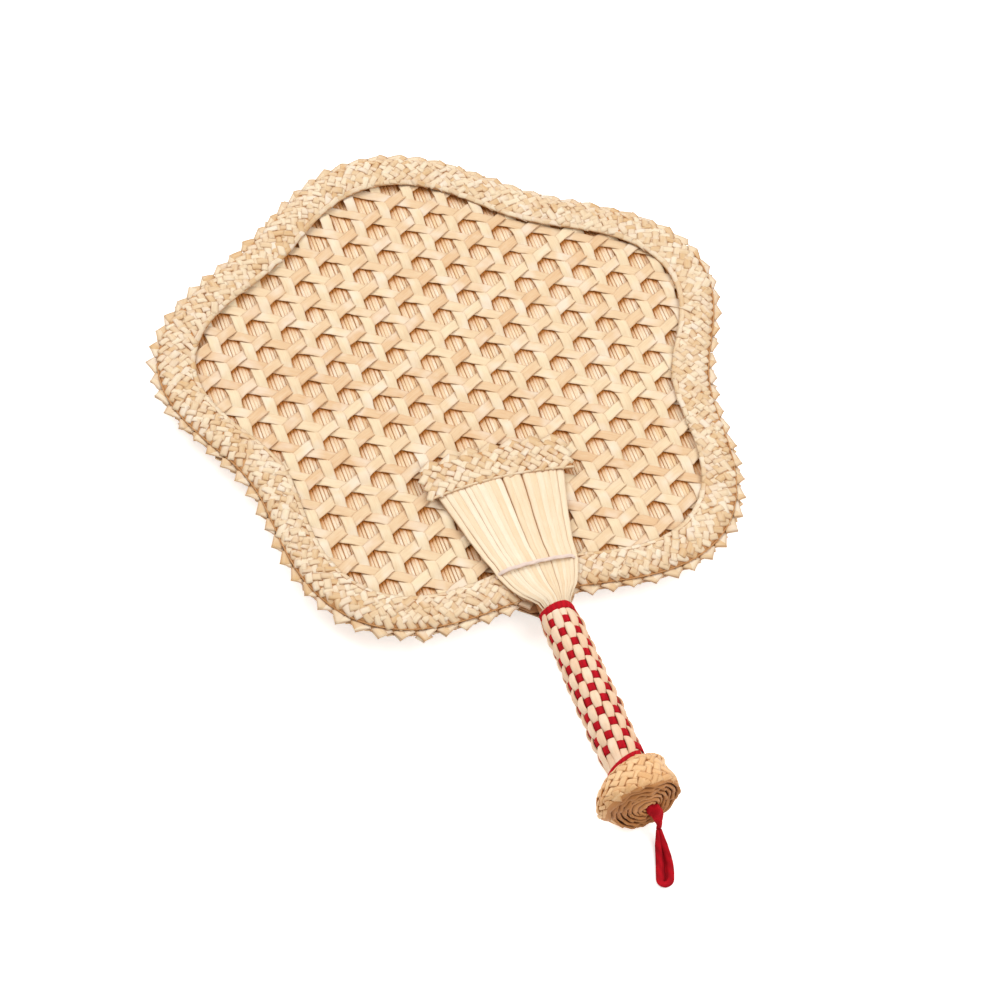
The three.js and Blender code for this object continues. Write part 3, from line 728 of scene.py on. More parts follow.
def straw_material(
    name, pale, tan, crease_shade, edge=0.35, gloss=0.5, shade_strength=0.6, reach=0.001,
    lean=(0, 0, 0), opened=0.8, faded=0.0,
):
    """Dried leaf or stalk: long fibres, blotches and a soft shine, with painted shade that browns each
    straw's edges and its hollows.
    """
    made, tree = new_material(name)
    tone, along, across = (kept_value(tree, key) for key in ("tone", "along", "across"))
    shift = times(tree, tone, 91.0)

    def fibre(per_length, per_width, detail):
        length = times(tree, along, per_length)
        width = times(tree, across, per_width)
        place = add_node(tree, "ShaderNodeCombineXYZ", {0: length, 1: width, 2: shift})
        return noise(tree, place.outputs[0], 1.0, detail)

    fine = fibre(90.0, 9.0, 3.0)
    broad = fibre(140.0, 1.4, 2.0)
    place = add_node(tree, "ShaderNodeTexCoord").outputs["Object"]
    blotch = noise(tree, place, 38.0, 4.0)
    start = maths(tree, "ADD", times(tree, tone, 0.8), -0.6)
    mixed = summed(tree, start, (fine, 0.65), (broad, 0.5), (blotch, 0.25))
    body = mixed_colour(tree, mixed, (*pale, 1), (*tan, 1))
    spots = {"Vector": place, "W": shift, "Scale": 75.0}
    patches = add_node(tree, "ShaderNodeTexNoise", spots, noise_dimensions="4D").outputs["Fac"]
    limits = {"Value": patches, "From Min": 0.5, "From Max": 0.7, "To Max": faded}
    patches = add_node(tree, "ShaderNodeMapRange", limits).outputs[0]
    body = mixed_colour(tree, patches, body, (*FADED, 1))
    # Painted shade: the colour goes towards the crease shade at each straw's edges, and again where its
    # neighbours close it in.
    rim = maths(tree, "POWER", maths(tree, "ABSOLUTE", across), 6.0)
    shaded_colour = mixed_colour(tree, times(tree, rim, edge), body, (*crease_shade, 1))
    closed = times(tree, painted_shade_share(tree, reach, lean, opened), shade_strength)
    shaded_colour = mixed_colour(tree, closed, shaded_colour, (*crease_shade, 1))
    limits = {"Value": fine, "To Min": gloss - 0.08, "To Max": gloss + 0.2}
    rough = add_node(tree, "ShaderNodeMapRange", limits).outputs[0]
    inputs = {"Base Color": shaded_colour, "Roughness": rough, "Specular IOR Level": 0.35, "Sheen Weight": 0.08}
    close_material(tree, summed(tree, fine, (broad, 0.6)), 0.35, 0.0004, inputs)
    return made


def cord_material(name, light, dark, per_length=900.0):
    """Soft spun cord: slanting plies, fuzz, a dusty sheen and painted shade in its hollows."""
    made, tree = new_material(name)
    along, across = kept_value(tree, "along"), kept_value(tree, "across")
    ply = summed(tree, times(tree, along, per_length), (across, 2.2))
    wave = times(tree, maths(tree, "ADD", maths(tree, "SINE", ply), 1.0), 0.5)
    place = add_node(tree, "ShaderNodeTexCoord").outputs["Object"]
    hair = noise(tree, place, 2600.0, 3.0)
    wear = noise(tree, place, 240.0, 2.0)
    lightness = summed(tree, times(tree, wave, 0.35), (hair, 0.4), (wear, 0.4))
    # Painted shade: the cord goes darker where its neighbours close it in.
    closed = times(tree, painted_shade_share(tree, CORD_SHADE_REACH, (0, 0, 0), 0.75), 1.1)
    lightness = maths(tree, "SUBTRACT", lightness, closed)
    inputs = {
        "Base Color": mixed_colour(tree, lightness, (*dark, 1), (*light, 1)),
        "Roughness": 0.85,
        "Specular IOR Level": 0.2,
        "Sheen Weight": 0.25,
        "Sheen Tint": (*light, 1),
    }
    close_material(tree, summed(tree, hair, (wave, 0.6)), 0.6, 0.0003, inputs)
    return made


# ---- the leaf's outline


def outline_radius(angle):
    """Distance from the leaf's middle to its rim, at an angle from its tip."""
    parts = (even * np.cos(n * angle) + odd * np.sin(n * angle) for n, even, odd in OUTLINE_SHARES)
    return LEAF_RADIUS * (1 + sum(parts))


LEAF_CENTRE_Y = float(outline_radius(math.pi))
WEAVE_CENTRE_Y = LEAF_CENTRE_Y - WEAVE_SHIFT


def outline_point(angle, inset):
    """Point of the outline, drawn in by an inset."""
    radius = outline_radius(angle) - inset
    return np.stack([radius * np.sin(angle), LEAF_CENTRE_Y + radius * np.cos(angle)], axis=-1)


def inside_leaf(x, y, inset):
    """True for places inside the inset outline."""
    angle = np.arctan2(x, y - LEAF_CENTRE_Y)
    return np.hypot(x, y - LEAF_CENTRE_Y) < outline_radius(angle) - inset


def equal_angles(count, inset):
    """Angles that divide the outline into equal lengths."""
    fine = np.linspace(0, 2 * math.pi, count * 12 + 1)
    points = outline_point(fine, inset)
    lengths = np.concatenate([[0], np.cumsum(np.linalg.norm(np.diff(points, axis=0), axis=1))])
    return np.interp(np.arange(count) * lengths[-1] / count, lengths, fine)


def runs_in_leaf(foot, way, inset):
    """Stretches of a line that lie inside the inset outline, as pairs of distances."""
    at = np.arange(-LINE_REACH, LINE_REACH, LINE_STEP)
    x, y = foot[0] + way[0] * at, foot[1] + way[1] * at
    inside = np.concatenate([[False], inside_leaf(x, y, inset), [False]])
    change = np.flatnonzero(np.diff(inside.astype(int)))
    pairs = zip(change[::2], change[1::2])
    return [(at[a], at[b - 1]) for a, b in pairs if b - a > SHORTEST_RUN]


# ---- leaf


def mat_lines(rng):
    """Straws of the mat in two layers, side by side, cut to the leaf's outline."""
    pitch = LINE_PITCH / STRAWS_PER_LINE
    lines = []
    for layer, middle in enumerate(MAT_LEVELS):
        for i in range(-90, 90):
            x = (i + 0.5 * layer) * pitch + rng.normal(0, 0.00012)
            level = middle + rng.normal(0, 0.00008) * (1 - layer)
            tone = rng.beta(2, 2)
            width = rng.uniform(0.86, 1.08)
            for low, high in runs_in_leaf((x, LEAF_CENTRE_Y), (0, 1), MAT_INSET):
                count = max(3, int((high - low) / 0.014))
                y = LEAF_CENTRE_Y + np.linspace(low, high, count)
                drift = np.cumsum(rng.normal(0, 0.00006, count))
                lift = rng.normal(0, 0.00004, count)
                points = np.stack([x + drift - drift.mean(), y, level + lift], axis=-1)
                lines.append(line(points, tone, breadth=width * rng.uniform(0.93, 1.05, count)))
    return lines


def upright_lines(rng):
    """Upright strips: under each falling strip and over each rising one."""
    slope = math.tan(math.pi / 6)
    low_level, between, high_level = UPRIGHT_LEVELS
    lines = []
    for number in range(-WEAVE_LINES // 2, WEAVE_LINES // 2):
        x = WEAVE_ASIDE + (number + 0.5) * LINE_PITCH
        low, high = runs_in_leaf((x, LEAF_CENTRE_Y), (0, 1), STRIP_INSET)[0]
        reached = (low + UPRIGHT_REACH, high - UPRIGHT_REACH)
        ends = [(LEAF_CENTRE_Y + end - WEAVE_CENTRE_Y) / CROSSING_PITCH - 0.5 for end in reached]
        first, last = math.ceil(ends[0]), math.floor(ends[1])
        points, slants, breadths = [], [], []
        for k in range(first, last + 1):
            y = WEAVE_CENTRE_Y + (k + 0.5) * CROSSING_PITCH
            under = (k + number) % 2 == 0
            level = low_level if under else high_level
            slant = -slope if under else slope
            shift = rng.normal(0, 0.00012)
            for part in (-1, 0, 1):
                lift = 0.00012 if part == 0 and not under else 0
                points.append((x + shift, y + part * UPRIGHT_REACH, level + lift))
                slants.append(slant * (1 if part else 0.9))
                breadths.append(rng.uniform(0.95, 1.04))
            if k < last:
                points.append((x + shift, y + CROSSING_PITCH / 2, between))
                slants.append(0)
                breadths.append(0.97)
        # Upright strips take only the paler tones: partly their own random tone, partly painted light, as
        # they lie on top and catch the lamp.
        lines.append(line(points, rng.uniform(0, 0.35), breadth=breadths, slant=slants))
    return lines


def slant_lines(rng, side, level, wave, tones):
    """Slanting strips of one family, waved over and under the others."""
    tilt = side * math.pi / 6
    way = np.array([math.cos(tilt), math.sin(tilt)])
    sideways = np.array([-way[1], way[0]])
    lines = []
    for number in range(-WEAVE_LINES // 2 - 1, WEAVE_LINES // 2 - 1):
        foot = np.array([WEAVE_ASIDE, WEAVE_CENTRE_Y]) + sideways * (number + 0.5) * LINE_PITCH
        for low, high in runs_in_leaf(foot, way, STRIP_INSET):
            count = max(4, int((high - low) / (CROSSING_PITCH / 3)))
            at = np.linspace(low, high, count)
            drift = rng.normal(0, 0.0001, count)
            flat = foot + at[:, None] * way + drift[:, None] * sideways
            phase = 2 * math.pi * (flat[:, 0] - WEAVE_ASIDE) / LINE_PITCH
            lift = level + side * wave * np.cos(phase) + rng.normal(0, 0.00005, count)
            points = np.column_stack([flat, lift])
            tilt_way = np.column_stack([rng.normal(0, 0.05, (count, 2)), np.ones(count)])
            tone = rng.uniform(*tones)
            breadth = rng.uniform(0.94, 1.03) * rng.uniform(0.97, 1.03, count)
            lines.append(line(points, tone, face=tilt_way, breadth=breadth))
    return lines


def plait_rows(place, count, rows, pitch, rng):
    """Cells of a plait on a surface. place(u, w) gives a point, its way along, its way
    across and its outward way, for u in cells along the plait and w across it."""
    cells = []
    for row, w in enumerate(rows):
        for i in range(count):
            u = i + 0.5 * (row % 2)
            point, along, across, out = place(u, w)
            along = along / np.linalg.norm(along)
            turn = (1 if row % 2 == 0 else -1) * PLAIT_TURN + rng.normal(0, 0.13)
            run = along * math.cos(turn) + across * math.sin(turn)
            width = pitch / 2 * math.sqrt(2) * rng.uniform(0.84, 1.14)
            length = width * rng.uniform(1.35, 1.95)
            tipped = out + run * rng.normal(0.03, 0.07) + along * rng.normal(0, 0.06)
            shift = along * rng.normal(0, 0.0002) + out * rng.normal(0, 0.00011)
            size = (length, width, rng.uniform(0.8, 1.15))
            cells.append(((point + shift).tolist(), run, tipped, size, rng.beta(1.1, 1.1)))
    return cells


def edge_cells(place, count, w, pitch, rng):
    """Straws that run along a plaited band's inner edge."""
    cells = []
    for i in range(count):
        point, along, across, out = place(i, w)
        run = along / np.linalg.norm(along) + across * rng.normal(0.05, 0.09)
        size = (pitch * rng.uniform(1.2, 1.5), rng.uniform(0.0025, 0.0031), rng.uniform(0.8, 1.1))
        tipped = out + across * rng.uniform(0.05, 0.25) + run * rng.normal(0.02, 0.05)
        cells.append((point.tolist(), run, tipped, size, rng.beta(1.1, 1.1)))
    return cells


def tooth_cells(valleys, tips, inward, out, rng):
    """Two folded straws for each tooth, from a valley up to its tip and down to the next."""
    cells = []
    for i, tip in enumerate(tips):
        for start, end, over in ((valleys[i], tip, 0), (tip, valleys[i + 1], 1)):
            run = end - start
            length = float(np.linalg.norm(run))
            run = run / length
            across = np.cross(out, run)
            across = across if np.dot(across, inward[i]) > 0 else -across
            width = TOOTH_WIDTH * rng.uniform(0.92, 1.05)
            lift = over * 0.0003 + rng.normal(0, 0.0001)
            centre = (start + end) / 2 + across * width / 2 + out * lift
            tipped = out + run * rng.normal(0, 0.1) + across * rng.uniform(0.05, 0.25)
            # The second straw of each tooth takes darker tones: painted shade on that facet.
            tone = 0.5 * over + 0.5 * rng.beta(1.1, 1.1)
            cells.append((centre.tolist(), run, tipped, (length * 1.04, width, 0.9), tone))
    return cells


def band_profile(w):
    """How far a plaited band's face lies under its level, at a distance from its rim."""
    return np.interp(w, BAND_PLACES, BAND_DROPS)


def band_place(inset, z, side):
    """Surface of a border band, for plait_rows."""
    count = round(2 * math.pi * LEAF_RADIUS / PLAIT_PITCH)
    table = np.append(equal_angles(count, inset), 2 * math.pi)

    def at(u, w):
        angle = np.interp(u % count, np.arange(count + 1), table)
        return np.append(outline_point(angle, inset + w), z - side * band_profile(w))

    def place(u, w):
        point = at(u, w)
        along = (at(u + 0.02, w) - point) / 0.02
        across = (at(u, w + 0.0008) - point) / 0.0008
        across = across / np.linalg.norm(across)
        out = np.cross(along, across)
        return point, along, across, out / np.linalg.norm(out) * (side * np.sign(out[2]))

    return place, count


def border_teeth(z, rng):
    """Teeth of the back band, at the points of the leaf's outline."""
    teeth = round(2 * math.pi * LEAF_RADIUS / TOOTH_PITCH)
    starts = np.append(equal_angles(teeth, 0), 2 * math.pi)
    tips = starts[:-1] + np.diff(starts) * (TOOTH_LEAN + rng.normal(0, 0.06, teeth))
    raise_to = lambda flat, height: np.column_stack([flat, np.full(len(flat), height)])
    valleys = raise_to(outline_point(starts, TOOTH_DEPTH + 0.0004), z)
    reach = TOOTH_REACH - TOOTH_REACH_UP * np.cos(tips) - TOOTH_REACH_ASIDE * np.sin(tips)
    reach += rng.normal(0, 0.0004, teeth)
    points = raise_to(outline_point(tips, -reach), z - 0.0003)
    inward = raise_to(outline_point(tips, 0.01) - outline_point(tips, 0), 0.0)
    return tooth_cells(valleys, points, inward, np.array([0, 0, 1.0]), rng)


def band_underlay(inset, low, high):
    """Rings of the base that carries the front band's plait, thick at its outer rim."""
    rings = []
    flat_end = BORDER_WIDTH - 0.002
    for angle in equal_angles(BAND_RINGS, inset + BORDER_WIDTH / 2):
        section = [(0.0004, low - 0.0016), (0.0036, low - 0.0016), (0.0042, low), (flat_end, low)]
        inner = (flat_end, *BAND_PLACES[-2:1:-1])
        section += [(w, max(high - band_profile(w), low + 0.0001)) for w in inner]
        section += [(w, high - band_profile(w)) for w in (BAND_PLACES[1], 0.0004)]
        rings.append([(*outline_point(angle, inset + w), z) for w, z in section])
    return rings


def teeth_underlay(low, high, rim):
    """Rings of the base that carries the back band's plait and lifts its teeth."""
    rings = []
    start, end = 0.0044, 0.0044 + BORDER_WIDTH - 0.004
    for angle in equal_angles(BAND_RINGS, BORDER_WIDTH / 2):
        section = [(start, low), (end, low), (end, high), (0.009, high), (0.0086, rim), (start, rim)]
        rings.append([(*outline_point(angle, w), z) for w, z in section])
    return rings


def rim_rings(inset, z, width, start, end):
    """Rings of the folded straw that runs along part of a band's rim."""
    points = [(*outline_point(angle, inset), z) for angle in np.linspace(start, end, 220)]
    return tube_rings(points, width / 2, sides=8, flat=0.7)


def joined(name, parts):
    """One mesh object made of several."""
    for part in parts:
        part.select_set(True)
    bpy.context.view_layer.objects.active = parts[0]
    with bpy.context.temp_override(active_object=parts[0], selected_editable_objects=parts):
        bpy.ops.object.join()
    parts[0].name = name
    parts[0].data.name = name
    return parts[0]


def border_piece(name, inset, levels, material, rim, leaf, seed):
    """Plaited border band: a base, the plait on its face and its rims. The back band has
    teeth in place of the outer rim."""
    rng = np.random.default_rng(seed)
    low, high = levels
    steps = PLAIT_PITCH / 2 * np.arange(PLAIT_ROWS)
    if inset > 0:
        face = high - BAND_SINK
        rings = band_underlay(inset, low, face)
        place, count = band_place(inset, face, 1)
        cells = plait_rows(place, count, 0.0026 + steps, PLAIT_PITCH, rng)
        cells += edge_cells(place, count, BORDER_WIDTH - 0.0012, PLAIT_PITCH, rng)
        edges = (
            (inset, low - 0.0006, leaf.rim_width, 1.3, 5.0),
            # The inner rim runs only along the half of the band towards the leaf's tip: a painted shadow line
            # under the band's inner edge.
            (inset + BORDER_WIDTH + 0.0001, high - 0.0024, leaf.rim_width * 0.7, -1.5, 1.5),
        )
    else:
        rings = teeth_underlay(low + 0.0006, high - 0.0003, TEETH_LEVEL - 0.0002)
        place, count = band_place(inset + 0.0036, low + 0.0008, -1)
        cells = plait_rows(place, count, 0.0011 + steps, PLAIT_PITCH, rng)
        cells += border_teeth(TEETH_LEVEL, rng)
        edges = ()
    parts = [skinned(name + "_base", rings, rim, loop=True)]
    parts += [skinned(name + "_rim", rim_rings(*edge), rim) for edge in edges]
    return joined(name, [plaited(name + "_plait", cells, leaf, material), *parts])


# ---- splay, arc and thread


SPLAY_STATIONS = (
    # place along, half width, height of the face towards the leaf, crown over it, how far aside
    (CORE_END_Y, 0.0068, 0.00015, 0.0062, 0),
    (-0.0066, 0.0068, 0.00015, 0.0062, -0.0006),
    (-0.0048, 0.0078, 0.0022, 0.0052, -0.0007),
    (-0.0024, 0.009, 0.0034, 0.0046, -0.0009),
    (0.0035, 0.0146, 0.0046, 0.0026, -0.0019),
    (0.008, 0.0172, 0.0047, 0.0021, -0.0025),
    (0.016, 0.0203, 0.0047, 0.0013, -0.0027),
    (0.02, 0.0209, 0.0047, 0.0012, -0.0028),
    (0.0243, 0.0217, 0.0047, 0.0012, -0.003),
    (0.0295, 0.0227, 0.0032, 0.0014, -0.0032),
    (0.044, 0.0259, 0.0028, 0.0014, -0.0033),
    (0.068, 0.0315, 0.0021, 0.0014, -0.0027),
    (0.0706, 0.0321, 0.0019, 0.0008, -0.0026),
    (SPLAY_LENGTH, 0.0333, 0.0019, 0.0008, -0.0024),
)


def splay_at(places):
    """Half width, height, crown and sideways shift of a splay at places along it."""
    table = np.array(SPLAY_STATIONS)
    return [np.interp(places, table[:, 0], table[:, n]) for n in (1, 2, 3, 4)]


def splay_bow(places, share):
    return SPLAY_BOW * np.clip(places / SPLAY_LENGTH, 0, 1) ** 2 * (1 - share**2)


def stalk_lines(rng, side):
    """Stalks of one splay, from the core of the grip to the arc."""
    spread = np.concatenate([np.linspace(-0.119, -0.006, 8), np.linspace(-0.003, SPLAY_LENGTH, 26)])
    half, base, crown, aside = splay_at(spread)
    lines = []
    for i in range(STALK_COUNT):
        share = (2 * i + 1) / STALK_COUNT - 1 + rng.normal(0, 0.008)
        wander = np.cumsum(rng.normal(0, 0.0016, len(spread)))
        x = aside + half * (share + (wander - wander[0]) * (spread > 0))
        height = base + 0.0009 + crown * math.sqrt(max(0, 1 - share**2)) + rng.normal(0, 0.00012)
        points = np.stack([x, spread + splay_bow(spread, share), AXIS_Z + side * height], axis=-1)
        breadth = half / SPLAY_HALF * rng.uniform(0.98, 1.2) * rng.uniform(0.98, 1.02, len(spread))
        lean = share * 0.9 * np.clip(-spread / 0.01 + 1, 0, 1)
        face = np.stack([lean, 0 * lean, side * np.ones(len(spread))], axis=-1)
        lines.append(line(points, rng.beta(1.5, 2), face=face, breadth=breadth))
    return lines


def splay_backing(side):
    """Rings of the straws that fill a splay under its stalks."""
    rings = []
    for y in (-0.0005, 0.008, 0.016, 0.0243, 0.0295, 0.05, 0.068, 0.0706, SPLAY_LENGTH - 0.001):
        half, base, crown, aside = (float(v) for v in splay_at(y))
        shares = np.linspace(-1, 1, 13)
        at = lambda share, z: (aside + half * share, y + splay_bow(y, share), AXIS_Z + side * z)
        lower = [at(share, base + 0.0002) for share in shares]
        upper = [at(share, base + 0.0007 + crown * math.sqrt(1 - share**2)) for share in shares[::-1]]
        rings.append(lower + upper)
    return rings


def arc_bow(x):
    return SPLAY_BOW * (1 - (x / ARC_HALF_SPAN) ** 2)


def arc_piece(name, side, material, rim, leaf, seed):
    """Plaited arc over the end of a splay, toothed at its far edge."""
    rng = np.random.default_rng(seed)
    inner, outer = FRONT_ARC if side > 0 else BACK_ARC
    count = round(2 * ARC_HALF_SPAN / PLAIT_PITCH)
    step = PLAIT_PITCH / 2
    out = np.array([0, 0, float(side)])

    def at(x, w, z):
        return np.array([ARC_ASIDE + x, ARC_NEAR + w + arc_bow(x), z])

    def place(u, w):
        x = -ARC_HALF_SPAN + 2 * ARC_HALF_SPAN * (u + 0.25) / count
        slope = -2 * SPLAY_BOW * x / ARC_HALF_SPAN**2
        along = np.array([1, slope, 0])
        across = np.array([-slope, 1, 0]) / math.hypot(1, slope)
        return at(x, w, outer - side * ARC_FACE_DROP), along, across, out

    cells = plait_rows(place, count, [ARC_ROW_START + step * n for n in range(PLAIT_ROWS)], PLAIT_PITCH, rng)
    teeth = round(2 * ARC_HALF_SPAN / TOOTH_PITCH)
    starts = np.linspace(-ARC_HALF_SPAN, ARC_HALF_SPAN, teeth + 1)
    tips = starts[1:] - (1 - TOOTH_LEAN) * np.diff(starts)
    z = outer - side * ARC_RIM_DROP
    valleys = [at(x, ARC_WIDTH - 0.0036, z) for x in starts]
    points = [at(x, ARC_WIDTH, z) for x in tips]
    cells += tooth_cells(valleys, points, [np.array([0, -1.0, 0])] * teeth, out, rng)
    parts = [plaited(name + "_plait", cells, leaf, material)]
    rings = []
    face, low_face = outer - side * ARC_FACE_DROP, z
    section = ((0, inner), (0, low_face), (0.001, face), (0.0175, face), (0.0182, inner))
    for x in np.linspace(-ARC_HALF_SPAN + 0.0006, ARC_HALF_SPAN - 0.0006, 44):
        rings.append([at(x, w, z) for w, z in section])
    parts.append(skinned(name + "_base", rings, rim))
    places = np.linspace(-ARC_HALF_SPAN, ARC_HALF_SPAN, 60)
    edge = [at(x, 0.0003, outer - side * 0.0009) for x in places]
    parts.append(skinned(name + "_rim", tube_rings(edge, 0.00075, 8, 0.8), material))
    return joined(name, parts)


def tube_rings(points, radius, sides=10, flat=1.0):
    """Rings of a round or flattened cord along a row of points."""
    points = np.asarray(points, float)
    run = np.gradient(points, axis=0)
    run /= np.linalg.norm(run, axis=1, keepdims=True)
    side = np.cross(run, (0, 0, 1))
    weak = np.linalg.norm(side, axis=1) < 0.2
    side[weak] = np.cross(run[weak], (0, 1, 0))
    side /= np.linalg.norm(side, axis=1, keepdims=True)
    up = np.cross(side, run)
    angle = 2 * math.pi * np.arange(sides) / sides
    radius = np.broadcast_to(radius, (len(points),))
    out = side[:, None] * np.cos(angle)[None, :, None]
    out = out + up[:, None] * (flat * np.sin(angle))[None, :, None]
    return points[:, None] + out * radius[:, None, None]


def thread_rings(width):
    """Flat soft thread over the front splay."""
    share = np.linspace(-1, 1, 90)
    x = THREAD_ASIDE + THREAD_HALF * share
    y = THREAD_PLACE + THREAD_BOW * (1 - share**2) - 0.0003 * np.abs(share) ** 8
    y += 0.00012 * np.sin(17 * share)
    rise = THREAD_RISE * np.sqrt(np.clip(1 - share**2, 0, 1))
    rise -= THREAD_END_DROP * np.abs(share) ** 16
    points = np.stack([x, y, AXIS_Z + THREAD_HEIGHT + rise], axis=-1)
    swell = width / 2 * (1 + 0.06 * np.sin(43 * share) + 0.04 * np.sin(71 * share + 1))
    return tube_rings(points, swell, sides=12, flat=0.5)


# ---- grip


def axis_x(y):
    """Sideways place of the grip's axis, which leans a little in the leaf's plane."""
    return -0.0007 + 0.0021 * y / GRIP_END_Y


def grip_turn(y):
    """How far the straws round the grip are turned about its axis."""
    return GRIP_PHASE + GRIP_TWIST * y / GRIP_END_Y


def grip_slim(y):
    """Share of the grip's full radius, which is less near the leaf."""
    return np.interp(y / GRIP_END_Y, (0, 0.12, 0.6, 1), (0.91, 0.91, 1, 1))


def weft_place(turns):
    """Middle of the winding along the grip, after a number of turns."""
    start = GRIP_START_Y - WRAP_GAP - WEFT_WIDTH / 2
    first = start - WEFT_WIDTH - FIRST_TURN_GAP
    if turns < 1:
        return start + (first - start) * turns
    last = first - WEFT_PITCH * WEFT_TURNS
    if turns < 1 + WEFT_TURNS:
        return first - WEFT_PITCH * (turns - 1)
    end = GRIP_END_Y + WRAP_GAP + WEFT_WIDTH / 2
    return last + (end - last) * min(1, (turns - 1 - WEFT_TURNS) * TILT_RATE)


def winding_over(k):
    """True where the winding passes over the straw at its crossing k."""
    steps = WARP_COUNT * (WEFT_TURNS + 2)
    return k < WARP_COUNT or k >= steps - WARP_COUNT or k % 2 == 0


def grip_straw_lines(rng):
    """Straws round the grip, each over and under the winding."""
    lines = []
    for i in range(WARP_COUNT):
        places, radii, breadths = [GRIP_START_Y], [STRAW_TIP[0]], [STRAW_TIP[1]]
        for turn in range(WEFT_TURNS + 2):
            k = i + WARP_COUNT * turn
            y = weft_place(k / WARP_COUNT)
            over = winding_over(k)
            bulge = rng.normal(0, 0.00015)
            for part in (-CROSSING_SHARE, 0, CROSSING_SHARE):
                places.append(y - part * CROSSING_STEP)
                if turn == 0 and part < 0:
                    radius, breadth = STRAW_START
                elif turn > WEFT_TURNS:
                    radius, breadth = STRAW_END
                else:
                    radius, breadth = (STRAW_UNDER if over else STRAW_OVER)[0 if part == 0 else 1]
                    radius += 0 if over else bulge
                radii.append(radius)
                breadths.append(breadth)
        places.append(GRIP_END_Y - GRIP_OVERRUN)
        radii.append(STRAW_FINISH[0])
        breadths.append(STRAW_FINISH[1])
        order = np.argsort(places)[::-1]
        places, radii, breadths = (np.array(v)[order] for v in (places, radii, breadths))
        fine = np.linspace(places[0], places[-1], 130)
        smooth = [np.interp(-fine, -places, v) for v in (radii, breadths)]
        kernel = np.array([1, 2, 3, 2, 1]) / 9
        radius, breadth = (np.convolve(np.pad(v, 2, mode="edge"), kernel, "valid") for v in smooth)
        radius = radius * grip_slim(fine)
        angle = -2 * math.pi * i / WARP_COUNT + grip_turn(fine)
        out = np.stack([np.cos(angle), 0 * angle, np.sin(angle)], axis=-1)
        points = np.stack([axis_x(fine), fine, 0 * fine + AXIS_Z], axis=-1) + out * radius[:, None]
        lines.append(line(points, rng.beta(1.5, 2), face=out, breadth=breadth))
    return lines


def grip_core_rings():
    """Rings of the bundle that the straws lie round."""
    rings = []
    for y in np.linspace(GRIP_START_Y, GRIP_END_Y, 30):
        angle = np.linspace(0, 2 * math.pi, 24, endpoint=False)
        radius = GRIP_FILL * grip_slim(y)
        rings.append([(axis_x(y) + radius * math.cos(a), y, AXIS_Z + radius * math.sin(a)) for a in angle])
    return rings


def winding_rings(thickness):
    """Rings of the flat winding round the grip."""
    rings = []
    fine = 6
    steps = WARP_COUNT * (WEFT_TURNS + 2)
    levels = [WINDING_LEVELS[winding_over(k)] for k in range(steps)]
    levels[:WARP_COUNT] = [WEFT_START_RADIUS] * WARP_COUNT
    levels[-WARP_COUNT:] = [WEFT_END_RADIUS] * WARP_COUNT
    for n in range((steps - 1) * fine + 1):
        k, part = divmod(n, fine)
        share = part / fine
        blend = share * share * (3 - 2 * share)
        radius = levels[k] * (1 - blend) + levels[min(k + 1, steps - 1)] * blend
        turns = n / fine / WARP_COUNT
        y = weft_place(turns)
        angle = -2 * math.pi * turns + grip_turn(y)
        out = np.array([math.cos(angle), 0, math.sin(angle)])
        radius *= grip_slim(y)
        lean = END_TILT * min(1, max(0, (turns - 1 - WEFT_TURNS) * TILT_RATE))
        lean += START_TILT * min(1, max(0, (1 - turns) * TILT_RATE))
        tilt = lean * radius * out[0]
        centre = np.array([axis_x(y), y + tilt, AXIS_Z])
        half, lip = WEFT_WIDTH / 2, thickness / 2
        flat = half * 0.75
        section = ((-half, -lip), (half, -lip), (half, 0), (flat, lip), (-flat, lip), (-half, 0))
        rings.append([centre + out * (radius + r) + np.array([0, w, 0]) for w, r in section])
    return rings


# ---- pommel


def roll_inner(angle):
    """Inner radius of the rolled band at full swell."""
    turned = angle / (2 * math.pi * POMMEL_TURNS)
    lean = POMMEL_LEAN * turned * np.cos(angle + ROLL_PHASE)
    return ROLL_RADIUS + ROLL_PITCH * angle / (2 * math.pi) + lean


def swell_at(along):
    """Share of the roll's full radius at a place along it, smoothed."""
    places, shares = zip(*POMMEL_STATIONS)
    share = np.interp(along, places, shares)
    soft = np.interp(np.clip(along + 0.06, 0, 1), places, shares)
    return (share + soft + np.interp(np.clip(along - 0.06, 0, 1), places, shares)) / 3


def round_grip(angle, radius, y):
    """Point at an angle and radius round the grip's axis."""
    turned = angle + ROLL_PHASE
    return np.array([axis_x(y) + radius * math.cos(turned), y, AXIS_Z + radius * math.sin(turned)])


def mouth_rings():
    """Rings of the band's first turns, which fill the pommel's mouth round a small hole."""
    end = POMMEL_TOP_Y - POMMEL_LENGTH
    grow = (ROLL_RADIUS - MOUTH_RADIUS) / MOUTH_TURNS
    rings = []
    for k in range(MOUTH_STEPS * MOUTH_TURNS + 1):
        angle = 2 * math.pi * k / MOUTH_STEPS
        radius = MOUTH_RADIUS + grow * k / MOUTH_STEPS
        edge = end - 0.0003 * math.sin(angle * 2.7) - 0.0003 * abs(math.sin(angle * 4))
        edge += 0.0012 * (radius < 0.003)
        near, far, deep = radius + grow * 0.4, radius + grow * 0.8, end + 0.005
        section = ((radius, deep), (radius, edge), (near, edge - 0.0004), (far, edge), (far, deep))
        ring = []
        for size, y in section:
            share = max(0, 1 - size / ROLL_RADIUS)
            point = round_grip(angle, size, y)
            ring.append(point + np.array([MOUTH_PLACE[0], 0, MOUTH_PLACE[1]]) * share)
        rings.append(ring)
    return rings


